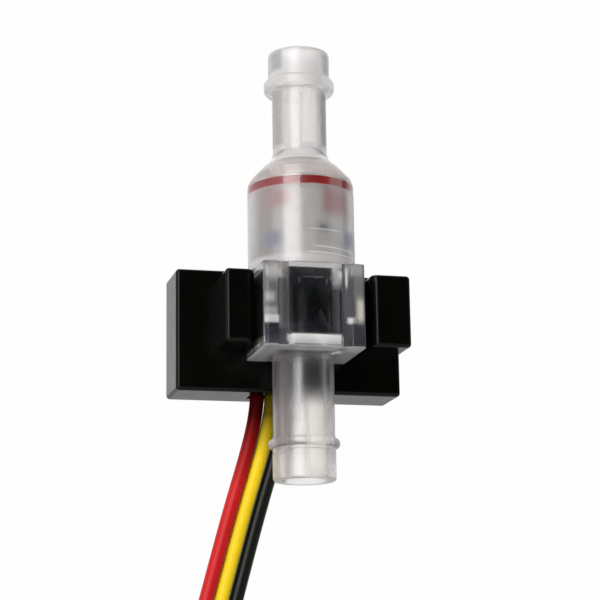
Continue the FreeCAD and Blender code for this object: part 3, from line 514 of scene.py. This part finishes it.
SEAL_RED = Finish("seal_silicone", (0.33, 0.006, 0.005), 0.45, mottle=0.12, grain=0.15)
CASE_BLACK = Finish("case_resin", (0.0010, 0.0014, 0.0008), 0.2, mottle=0.3, grain=0.12, grain_scale=9000.0,
                    specular=0.11)
ROTOR_BLACK = Finish("rotor_resin", (0.012, 0.012, 0.014), 0.35, mottle=0.2)
AXLE_STEEL = Finish("axle_steel", (0.6, 0.6, 0.62), 0.2, metallic=1.0)
JEWEL_RED = Finish("jewel_red", (0.5, 0.03, 0.05), 0.1, coat=1.0)
BOARD_GREEN = Finish("board_lacquer", (0.01, 0.1, 0.03), 0.3, coat=0.4)
CHIP_BLACK = Finish("chip_resin", (0.02, 0.02, 0.022), 0.5)
DIODE_CLEAR = ClearFinish("diode_glass", tint=(0.8, 0.82, 0.95), roughness=0.1, haze=0.1)
DIODE_DARK = Finish("diode_tint", (0.02, 0.012, 0.018), 0.15, coat=0.6)
TINNED = Finish("tinned_copper", (0.72, 0.72, 0.7), 0.28, metallic=1.0, grain=0.4)
SOLDER = Finish("solder_grey", (0.62, 0.62, 0.6), 0.32, metallic=1.0, grain=0.5)
CAN_METAL = Finish("can_metal", (0.75, 0.75, 0.76), 0.25, metallic=1.0)
GLAZE_BLACK = Finish("resistor_glaze", (0.03, 0.03, 0.03), 0.25)
POTTING = Finish("potting_black", (0.015, 0.015, 0.015), 0.55, grain=0.5)
# painted shade: the red and yellow leads deepen and lose their gleam near where they leave the case, standing
# in for the shadow of the housing and the outlet tail
WIRE_RED = Finish("lead_red", (0.36, 0.003, 0.004), 0.45, mottle=0.08, specular=0.2,
                  shade=(-56.6, -69.0, 0.07))
WIRE_YELLOW = Finish("lead_yellow", (0.58, 0.41, 0.004), 0.45, mottle=0.06, specular=0.2,
                     shade=(-56.5, -64.0, 0.1))
WIRE_BLACK = Finish("lead_black", (0.003, 0.004, 0.0025), 0.34, mottle=0.2, specular=0.16)
TIE_BLACK = Finish("tie_resin", (0.015, 0.015, 0.015), 0.4)
FLOOR_PALE = Finish("floor_pale", (0.88, 0.88, 0.87), 0.7, mottle=0.01, mottle_scale=8.0, grain=0.02,
                    specular=0.1)


# ------ mesh tools


def link(name: str, data: Any) -> Piece:
    """Make an object of a mesh, curve, camera or lamp and put it in the scene.

    Args:
        name: name of the object.
        data: what it shows.

    Returns:
        The new object.
    """
    made = bpy.data.objects.new(name, data)
    bpy.context.scene.collection.objects.link(made)
    return made


def wrap_up(name: str, mesh: bmesh.types.BMesh) -> Piece:
    """Turn a mesh under construction into a piece with outward faces.

    Args:
        name: name of the piece.
        mesh: the mesh, which is used up.

    Returns:
        The piece.
    """
    bmesh.ops.recalc_face_normals(mesh, faces=mesh.faces)
    data = bpy.data.meshes.new(name)
    mesh.to_mesh(data)
    mesh.free()
    return link(name, data)


def dress(piece: Piece, material: bpy.types.Material) -> None:
    """Give a piece one material all over.

    Args:
        piece: the piece.
        material: the material for all its slots.
    """
    if not piece.material_slots:
        piece.data.materials.append(material)
    for place in piece.material_slots:
        place.material = material


def arc(centre: Point, radius: float, start: float, end: float, steps: int = 10) -> list[Point]:
    """Points on a circular arc, in millimetres.

    Args:
        centre: the arc's centre, across and up.
        radius: its radius.
        start: angle of the first point, in degrees.
        end: angle of the last point, in degrees.
        steps: how many chords stand for it.

    Returns:
        The arc's points, both ends included.
    """
    angles = [math.radians(start + (end - start) * i / steps) for i in range(steps + 1)]
    return [(centre[0] + radius * math.cos(a), centre[1] + radius * math.sin(a)) for a in angles]


def bulge(radius: float, rise: float, bottom: float, top: float) -> list[Point]:
    """Section of a rounded bead round a tube, from its lower edge up.

    Args:
        radius: the tube's radius, in millimetres.
        rise: how far the bead stands out, which is the radius of its roundings too.
        bottom: level of its lower edge.
        top: level of its upper edge.

    Returns:
        The bead's points.
    """
    return arc((radius, bottom + rise), rise, -90, 0) + arc((radius, top - rise), rise, 0, 90)


def lathe(name: str, outline: Sequence[Point], segments: int, closed: bool = True) -> Piece:
    """Turn an outline round the flow axis.

    Args:
        name: name of the piece.
        outline: points across and up, in millimetres, counter-clockwise for an outward surface.
        segments: how many steps the turn has.
        closed: whether the outline closes on itself. An open one starts and ends on the axis.

    Returns:
        The turned piece.
    """
    mesh = bmesh.new()
    rings = []
    angles = [2 * math.pi * i / segments for i in range(segments)]
    for across, up in outline:
        if across == 0:
            rings.append([mesh.verts.new((0, 0, up * MM))])
        else:
            rings.append([mesh.verts.new((across * MM * math.cos(a), across * MM * math.sin(a), up * MM))
                          for a in angles])
    pairs = list(zip(rings, rings[1:]))
    if closed:
        pairs.append((rings[-1], rings[0]))
    for low, high in pairs:
        for i in range(segments):
            j = (i + 1) % segments
            if len(low) == 1:
                mesh.faces.new((low[0], high[j], high[i]))
            elif len(high) == 1:
                mesh.faces.new((low[i], low[j], high[0]))
            else:
                mesh.faces.new((low[i], low[j], high[j], high[i]))
    return wrap_up(name, mesh)


def stack(name: str, outlines: Sequence[Sequence[Triple]]) -> Piece:
    """Close a solid round outlines that lie one above the other.

    Args:
        name: name of the piece.
        outlines: the outlines from the lowest up, in millimetres, all with as many points.

    Returns:
        The solid.
    """
    mesh = bmesh.new()
    rings = [[mesh.verts.new((x * MM, y * MM, z * MM)) for x, y, z in outline] for outline in outlines]
    for below, above in zip(rings, rings[1:]):
        for i in range(len(below)):
            j = (i + 1) % len(below)
            mesh.faces.new((below[i], below[j], above[j], above[i]))
    mesh.faces.new(list(reversed(rings[0])))
    mesh.faces.new(rings[-1])
    return wrap_up(name, mesh)


def rounded_block(name: str, low: Vector, high: Vector, corner: float, foot: float, steps: int = 6) -> Piece:
    """A block with rounded upright corners and a rounded lower edge, in millimetres.

    Args:
        name: name of the piece.
        low: its lowest corner.
        high: its highest corner.
        corner: radius of the upright corners.
        foot: radius of the lower edge.
        steps: how many chords round the lower edge.

    Returns:
        The block.
    """
    outlines = []
    angles = [math.radians(90 * i / steps) for i in range(steps + 1)]
    levels = [(foot * (1 - math.sin(a)), foot * (1 - math.cos(a))) for a in angles]
    corners = ((high.x, high.y, 0), (low.x, high.y, 90), (low.x, low.y, 180), (high.x, low.y, 270))
    for inset, rise in [*levels, (0.0, high.z - low.z)]:
        outline: list[Point] = []
        for x, y, start in corners:
            centre = (x - math.copysign(corner, x), y - math.copysign(corner, y))
            outline += arc(centre, corner - inset, start, start + 90, steps=8)
        outlines.append([(x, y, low.z + rise) for x, y in outline])
    return stack(name, outlines)


class Cut(str, Enum):
    """What a second solid does to the first."""

    JOIN = "UNION"
    REMOVE = "DIFFERENCE"


def combine(piece: Piece, tool: Piece, cut: Cut) -> None:
    """Join a tool solid to a piece or cut it away, and drop the tool.

    Args:
        piece: the solid that stays.
        tool: the solid that is used up.
        cut: whether the tool is joined or removed.
    """
    step = piece.modifiers.new("cut", "BOOLEAN")
    step.operation = cut.value
    step.solver = "EXACT"
    step.object = tool
    graph = bpy.context.evaluated_depsgraph_get()
    mesh = bpy.data.meshes.new_from_object(piece.evaluated_get(graph))
    piece.modifiers.clear()
    piece.data = mesh
    bpy.data.objects.remove(tool)


def smooth(piece: Piece, angle: float) -> None:
    """Shade a piece smooth, keeping edges above an angle sharp.

    Args:
        piece: the piece to shade.
        angle: the largest angle that is smoothed, in degrees.
    """
    piece.data.shade_smooth()
    piece.data.set_sharp_from_angle(angle=math.radians(angle))


# ------ camera and light


@dataclass(frozen=True)
class Lamp:
    """A soft rectangular lamp that faces the sensor and isn't seen itself.

    Attributes:
        name: its name.
        turn: how far it stands to the right of the front, in degrees.
        rise: how far it stands above the sensor, in degrees.
        width: its width in metres.
        height: its height in metres.
        watts: its power.
        distance: how far it stands away, in metres.
        aim: the level that it faces, in metres.
    """

    name: str
    turn: float
    rise: float
    width: float
    height: float
    watts: float
    distance: float = 0.8
    aim: float = -0.035

    def build(self) -> None:
        """Make the lamp."""
        across, up = math.radians(self.turn), math.radians(self.rise)
        away = Vector((math.sin(across) * math.cos(up), -math.cos(across) * math.cos(up), math.sin(up)))
        data = bpy.data.lights.new(self.name, "AREA")
        data.shape = "RECTANGLE"
        data.size = self.width
        data.size_y = self.height
        data.energy = self.watts
        made = link(self.name, data)
        made.location = away * self.distance + Vector((0, 0, self.aim))
        made.rotation_mode = "QUATERNION"
        made.rotation_quaternion = (-away).to_track_quat("-Z", "Y")
        made.visible_camera = False
        made.visible_transmission = False


@dataclass
class Studio:
    """Camera, lamps and surroundings.

    Attributes:
        eye: the camera's place, in millimetres.
        yaw: its heading, in degrees.
        pitch: its rise, in degrees.
        roll: its roll, in degrees.
        lens: focal length over the sensor, in millimetres.
        sensor: the sensor's width, in millimetres.
        clip: nearest and farthest distance that is drawn, in metres.
        room_edge: where along Y the dark room starts and ends.
        room_light: its light, as a share of the sweep's.
        lean: how far the dark room reaches round on the right.
        sweep: colour of the white sweep.
        ground: the floor's height in metres.
        ground_half: half the floor's width in metres.
        lamps: the lamps.
    """

    eye: Triple = (-75.01, -289.67, -109.48)
    yaw: float = 14.456
    pitch: float = 13.249
    roll: float = -0.872
    lens: float = 115.32
    sensor: float = 36.0
    clip: Point = (0.01, 20.0)
    room_edge: Point = (-0.70, -0.25)
    room_light: float = 0.02
    lean: float = 0.8
    sweep: Triple = (0.99, 0.99, 0.985)
    ground: float = -0.25
    ground_half: float = 12.0
    lamps: tuple[Lamp, ...] = (
        Lamp("strip_left", -33.0, 12.0, 0.5, 0.9, 9.0),
        Lamp("fill_right", 70.0, 30.0, 0.5, 0.5, 1.2),
    )

    def build(self) -> None:
        """Make the camera, the surroundings, the floor and the lamps."""
        self.camera()
        self.surroundings()
        self.floor()
        for lamp in self.lamps:
            lamp.build()
        bpy.context.scene.view_settings.view_transform = "Standard"

    def camera(self) -> None:
        """Set the camera where the photograph was taken from."""
        yaw, pitch, roll = (math.radians(a) for a in (self.yaw, self.pitch, self.roll))
        ahead = Vector((math.sin(yaw) * math.cos(pitch), math.cos(yaw) * math.cos(pitch), math.sin(pitch)))
        right = Vector((math.cos(yaw), -math.sin(yaw), 0))
        above = right.cross(ahead)
        across = right * math.cos(roll) + above * math.sin(roll)
        up = above * math.cos(roll) - right * math.sin(roll)
        data = bpy.data.cameras.new("camera")
        data.lens = self.lens
        data.sensor_width = self.sensor
        data.clip_start, data.clip_end = self.clip
        made = link("camera", data)
        place = Matrix((across, up, -ahead)).transposed().to_4x4()
        place.translation = Vector(self.eye) * MM
        made.matrix_world = place
        bpy.context.scene.camera = made

    def surroundings(self) -> None:
        """A white sweep all round, and a dark room on the camera's side."""
        world = bpy.data.worlds.new("surroundings")
        bpy.context.scene.world = world
        world.use_nodes = True
        graph = Graph(world.node_tree)
        where = graph.add("TexCoord")
        split = graph.add("SeparateXYZ", {"Vector": where.outputs["Generated"]})
        lean = graph.add("Math", {0: split.outputs["X"], 1: -self.lean, 2: split.outputs["Y"]},
                         operation="MULTIPLY_ADD")
        ramp = graph.add("MapRange", {
            "From Min": self.room_edge[0], "From Max": self.room_edge[1],
            "To Min": self.room_light, "To Max": 1.0, "Value": lean.outputs["Value"],
        }, interpolation_type="SMOOTHSTEP")
        light = graph.add("LightPath")
        seen = graph.add("Math", {0: light.outputs["Is Camera Ray"], 1: ramp.outputs["Result"]},
                         operation="MAXIMUM")
        graph.feed(world.node_tree.nodes["Background"],
                   {"Color": (*self.sweep, 1), "Strength": seen.outputs["Value"]})

    def floor(self) -> None:
        """A plain pale floor, well below the wires and the camera."""
        data = bpy.data.meshes.new("floor")
        size, ground = self.ground_half, self.ground
        corners = [(-size, -size, ground), (size, -size, ground), (size, size, ground), (-size, size, ground)]
        data.from_pydata(corners, [], [(0, 1, 2, 3)])
        made = link("floor", data)
        dress(made, FLOOR_PALE.material())


# ------ clear flow line


@dataclass
class Levels:
    """Heights of the flow line, in millimetres on its axis."""

    inlet_end: float = 2.3
    inlet_bead_top: float = -2.3
    inlet_bead_bottom: float = -4.5
    flare_top: float = -14.3
    flare_edge: float = -17.3
    seal_top: float = -20.55
    seal_bottom: float = -21.9
    block_top: float = -34.9
    sleeve_step: float = -35.35
    chamber_floor: float = -46.0
    block_bottom: float = -48.45
    outlet_bead_top: float = -61.6
    outlet_bead_bottom: float = -63.1
    outlet_end: float = -68.2


@dataclass
class InletCap:
    """Clear cap: tail, bead, neck, flare, crown and skirt, in millimetres. What isn't listed is a radius.

    Attributes:
        at: the flow line's levels.
        tip_round: rounding of the tip's edge.
        chamfer: chamfer at the bore's mouth.
        flare: radius of the hollow curve between neck and crown.
        flare_end: angle where that curve meets the crown.
        edge: radius of the crown's upper edge.
        fall: how far the crown falls from there to the cylinder.
        blend: how far below its corner the crown's rounding ends.
        throat_run: length of the wide throat above the seal ring.
        funnel_run: how far above the seal ring the funnel from bore to throat starts.
        gap: gap between skirt and block.
        skirt_chamfer: chamfer at the skirt's lower edge.
        segments: steps of the turn.
    """

    at: Levels = field(default_factory=Levels)
    tip: float = 5.0
    tip_round: float = 0.4
    bead: float = 5.75
    neck: float = 4.4
    bore: float = 3.2
    chamfer: float = 0.3
    flare: float = 3.4464
    flare_end: float = 240.5
    edge: float = 6.15
    fall: float = 2.72
    blend: float = 0.85
    outer: float = 8.6
    socket: float = 7.55
    throat: float = 5.7
    throat_run: float = 0.8
    funnel_run: float = 6.0
    gap: float = 0.06
    skirt_chamfer: float = 0.12
    segments: int = 256

    def outline(self) -> list[Point]:
        """The cap's section.

        Returns:
            Its points, counter-clockwise from the mouth of the bore.
        """
        at, foot = self.at, self.at.block_top + self.gap
        points: list[Point] = [(self.bore + self.chamfer, at.inlet_end)]
        points += [(self.bore, at.inlet_end - self.chamfer), (self.bore, at.seal_top + self.funnel_run)]
        points += [(self.throat, at.seal_top + self.throat_run), (self.throat, at.seal_top)]
        points += [(self.socket, at.seal_top), (self.socket, foot), (self.outer - self.skirt_chamfer, foot)]
        points += [(self.outer, foot + self.skirt_chamfer)]
        points += self.crown()
        hollow = arc((self.neck + self.flare, at.flare_top), self.flare, 180, self.flare_end, steps=24)
        points += reversed(hollow)
        points += [(self.neck, at.inlet_bead_bottom), (self.tip, at.inlet_bead_bottom)]
        points += bulge(self.tip, self.bead - self.tip, at.inlet_bead_bottom, at.inlet_bead_top)
        centre = (self.tip - self.tip_round, at.inlet_end - self.tip_round)
        points += [(self.tip, centre[1]), *arc(centre, self.tip_round, 0, 90, steps=6)[1:]]
        return points

    def crown(self) -> list[Point]:
        """The shoulder's blend into the cylinder.

        Returns:
            Its points, from the cylinder up.
        """
        run = self.outer - self.edge
        radius = self.blend * (math.hypot(run, self.fall) + self.fall) / run
        centre = (self.outer - radius, self.at.flare_edge - self.fall - self.blend)
        return arc(centre, radius, 0, math.degrees(math.atan2(run, self.fall)))

    def build(self) -> Piece:
        """Turn the cap and dress it.

        Returns:
            The cap, which stands for the CAD node.
        """
        piece = lathe("cap_moulding", self.outline(), self.segments)
        smooth(piece, angle=25)
        dress(piece, CAP_CLEAR.material())
        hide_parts("inlet_cap")
        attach(piece, Body.FRAME.value)
        return piece


@dataclass
class FlowBody:
    """Clear block with its spigot and outlet tail, in millimetres. What isn't listed is a radius.

    Attributes:
        at: the flow line's levels.
        half_width: half the block's width.
        half_depth: half its depth.
        corner: rounding of its upright corners.
        foot: rounding of its lower edge.
        floor_radius: radius at the foot of the chamber's conical floor.
        floor_drop: how far that floor falls.
        funnel_drop: how far below the chamber the bore starts.
        mouth: radius of the counterbore at the outlet.
        mouth_run: its length.
        chamfer: chamfer at the outlet's edge.
        tip_round: rounding of the tail's tip.
        groove: inner side, outer side and depth of the grooves in the front face.
        overlap: how far a tool reaches past the face that it joins or cuts.
        segments: steps of the turn.
    """

    at: Levels = field(default_factory=Levels)
    half_width: float = 8.2
    half_depth: float = 8.5
    corner: float = 0.9
    foot: float = 0.5
    spigot: float = 7.5
    spigot_bore: float = 6.5
    chamber: float = 6.3
    floor_radius: float = 4.0
    floor_drop: float = 1.7
    funnel_drop: float = 3.1
    bore: float = 3.2
    mouth: float = 3.45
    mouth_run: float = 4.6
    chamfer: float = 0.3
    neck: float = 4.9
    tip: float = 5.0
    tip_round: float = 0.4
    bead: float = 5.7
    groove: Triple = (4.35, 6.0, 0.4)
    overlap: float = 1.0
    segments: int = 256

    def build(self) -> Piece:
        """Join the block, spigot and tail, bore them and dress the piece.

        Returns:
            The body, which stands for the CAD node.
        """
        low = Vector((-self.half_width, -self.half_depth, self.at.block_bottom))
        high = Vector((self.half_width, self.half_depth, self.at.block_top))
        piece = rounded_block("body_moulding", low, high, self.corner, self.foot)
        for side in (-1, 1):
            combine(piece, self.groove_tool(side), Cut.REMOVE)
        for name, outline, cut in (("spigot_tool", self.spigot_outline(), Cut.JOIN),
                                   ("tail_tool", self.tail_outline(), Cut.JOIN),
                                   ("bore_tool", self.bore_outline(), Cut.REMOVE)):
            combine(piece, lathe(name, outline, self.segments, closed=False), cut)
        smooth(piece, angle=25)
        dress(piece, CLEAR.material())
        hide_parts("flow_body")
        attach(piece, Body.FRAME.value)
        return piece

    def groove_tool(self, side: int) -> Piece:
        """The solid that cuts one of the upright grooves in the front face.

        Args:
            side: 1 for the groove on the right, -1 for the left one.

        Returns:
            The solid.
        """
        inner, outer, depth = self.groove
        first, last = sorted((inner * side, outer * side))
        front, back = -self.half_depth - self.overlap, depth - self.half_depth
        foot, top = self.at.block_bottom - self.overlap, self.at.block_top + self.overlap
        section = ((first, front), (last, front), (last, back), (first, back))
        return stack("groove_tool", [[(x, y, z) for x, y in section] for z in (foot, top)])

    def spigot_outline(self) -> list[Point]:
        """Half section of the spigot.

        Returns:
            Its points, from the foot up.
        """
        foot, top = self.at.block_top - self.overlap, self.at.seal_bottom
        return [(0.0, foot), (self.spigot, foot), (self.spigot, top), (0.0, top)]

    def tail_outline(self) -> list[Point]:
        """Half section of the outlet tail.

        Returns:
            Its points, from the tip up.
        """
        at, top = self.at, self.at.block_bottom + self.overlap
        centre = (self.tip - self.tip_round, at.outlet_end + self.tip_round)
        points: list[Point] = [(0.0, at.outlet_end), *arc(centre, self.tip_round, -90, 0, steps=6)]
        points += [(self.tip, at.outlet_bead_bottom)]
        points += bulge(self.tip, self.bead - self.tip, at.outlet_bead_bottom, at.outlet_bead_top)
        points += [(self.neck, at.outlet_bead_top), (self.neck, top), (0.0, top)]
        return points

    def bore_outline(self) -> list[Point]:
        """Half section of the bore, the funnel and the chamber.

        Returns:
            Its points, from the outlet up.
        """
        at = self.at
        below, top = at.outlet_end - self.overlap, at.seal_bottom + self.overlap
        return [
            (0.0, below),
            (self.mouth + self.chamfer, below),
            (self.mouth + self.chamfer, at.outlet_end),
            (self.mouth, at.outlet_end + self.chamfer),
            (self.mouth, at.outlet_end + self.mouth_run),
            (self.bore, at.outlet_end + self.mouth_run),
            (self.bore, at.chamber_floor - self.funnel_drop),
            (self.floor_radius, at.chamber_floor - self.floor_drop),
            (self.chamber, at.chamber_floor),
            (self.chamber, at.sleeve_step),
            (self.spigot_bore, at.sleeve_step),
            (self.spigot_bore, top),
            (0.0, top),
        ]


@dataclass
class SealRing:
    """Flat red ring, pressed against the cap's wall so that it shows its colour there.

    Attributes:
        at: the flow line's levels.
        inner: radius of its hole, in millimetres.
        outer: its radius.
        press: how far it is pressed into the cap and the spigot.
        segments: steps of the turn.
    """

    at: Levels = field(default_factory=Levels)
    inner: float = 6.55
    outer: float = 7.56
    press: float = 0.004
    segments: int = 256

    def build(self) -> Piece:
        """Turn the ring and dress it.

        Returns:
            The ring, which stands for the CAD node.
        """
        low, high = self.at.seal_bottom - self.press, self.at.seal_top + self.press
        section = [(self.inner, low), (self.outer, low), (self.outer, high), (self.inner, high)]
        piece = lathe("seal_moulding", section, self.segments)
        smooth(piece, angle=30)
        dress(piece, SEAL_RED.material())
        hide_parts("seal_ring")
        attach(piece, Body.FRAME.value)
        return piece


# ------ wires


@dataclass
class Wire:
    """One insulated wire of the lead.

    Attributes:
        name: its colour.
        offset: how far it lies beside the middle wire, in millimetres.
        finish: its insulation.
        slot: the record's slot of that insulation, which is not used.
        stray: how far the hanging run lies beside and behind its place, in millimetres.
        stray_shares: the share of that at each of the route's first points.
        radius: its radius in millimetres.
        length: its length in metres.
        start: where the middle wire leaves the case, in millimetres.
        route: the middle wire's control points from there, in millimetres.
    """

    name: str
    offset: float
    finish: Finish
    slot: Slot
    stray: Point = (0.0, 0.0)
    stray_shares: tuple[float, ...] = (0.0, 0.4, 1.0, 1.0, 1.0, 0.6)
    radius: float = 1.15
    # length: its length in metres, which is not used.
    length: float = 0.1352
    start: Triple = (-3.25, 8.0, -52.85)
    route: tuple[Triple, ...] = (
        (0.0, 0.0, 0.0),
        (-0.05, 0.0, -2.5),
        (-1.5, 0.0, -8.9),
        (-4.75, 0.0, -19.4),
        (-8.15, -0.1, -31.6),
        (-11.0, -0.8, -41.6),
        (-12.5, -1.2, -51.2),
        (-12.5, -1.2, -60.65),
        (-12.5, -15.16, -72.35),
        (-12.5, -14.02, -80.95),
        (-12.5, -6.14, -84.65),
        (-12.5, 1.2, -79.95),
        (-12.5, 1.35, -63.65),
        (-12.5, 1.1, -48.15),
    )

    def build(self, end: Piece) -> Piece:
        """Args:
            end: the CAD node of its tinned end, which is not used.

        Returns:
            The wire's curve.
        """
        origin = Vector(self.start) + Vector((self.offset, 0, 0))
        strays = [Vector((*self.stray, 0)) * share for share in self.stray_shares]
        strays += [Vector()] * (len(self.route) - len(strays))
        points = [(origin + Vector(step) + stray) * MM for step, stray in zip(self.route, strays)]
        curve = bpy.data.curves.new(f"{self.name}_lead", "CURVE")
        curve.dimensions = "3D"
        curve.bevel_depth = self.radius * MM
        curve.bevel_resolution = 10
        curve.resolution_u = 24
        curve.use_fill_caps = True
        line = curve.splines.new("NURBS")
        line.points.add(len(points) - 1)
        for spot, point in zip(line.points, points):
            spot.co = (*point, 1.0)
        line.order_u = 3
        line.use_endpoint_u = True
        piece = link(f"{self.name}_lead", curve)
        curve.materials.append(self.finish.material())
        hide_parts(f"{self.name}_wire")
        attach(piece, Body.FRAME.value)
        return piece


# ------ carried-over nodes


@dataclass
class CarriedNodes:
    """CAD nodes whose own mesh stays.

    Attributes:
        finishes: each node's finish.
    """

    finishes: dict[str, Surface] = field(default_factory=lambda: {
        "flow_straightener": INSERT,
        "outlet_spider": ROTOR_BLACK,
        "inlet_bearing": JEWEL_RED,
        "outlet_bearing": JEWEL_RED,
        "turbine_rotor": ROTOR_BLACK,
        "rotor_axle": AXLE_STEEL,
        "housing_shell": CASE_BLACK,
        "rear_cover": CASE_BLACK,
        "circuit_board": BOARD_GREEN,
        "ir_emitter": DIODE_CLEAR,
        "emitter_leads": TINNED,
        "ir_receiver": DIODE_DARK,
        "receiver_leads": TINNED,
        "comparator_chip": CHIP_BLACK,
        "chip_legs": TINNED,
        "resistors": GLAZE_BLACK,
        "capacitor": CAN_METAL,
        "wire_seal": POTTING,
        "inner_conductors": TINNED,
        "solder_joints": SOLDER,
        "red_wire_end": TINNED,
        "yellow_wire_end": TINNED,
        "black_wire_end": TINNED,
        "wire_tie": TIE_BLACK,
    })

    def build(self, nodes: dict[str, Piece]) -> None:
        """Dress every carried-over node.

        Args:
            nodes: the frame's nodes by name.
        """
        for name, finish in self.finishes.items():
            dress(nodes[name], finish.material())
            LOG.info("dressed %s", name)


def main() -> None:
    """Build the studio, the wires, the clear flow line and the finishes."""
    logging.basicConfig(level=logging.INFO, format="%(message)s")
    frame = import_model()
    nodes = frame["nodes"]
    Studio().build()
    for wire in (Wire("red", -WIRE_PITCH, WIRE_RED, Slot.RED, (0.0, -0.4)),
                 Wire("yellow", 0.0, WIRE_YELLOW, Slot.YELLOW),
                 Wire("black", WIRE_PITCH, WIRE_BLACK, Slot.BLACK, (0.1, 0.8))):
        made = wire.build(nodes[f"{wire.name}_wire_end"])
        LOG.info("laid %s", made.name)
    for part in (InletCap(), FlowBody(), SealRing()):
        made = part.build()
        LOG.info("built %s with %d faces", made.name, len(made.data.polygons))
    CarriedNodes().build(nodes)


if __name__ == "__main__":
    main()
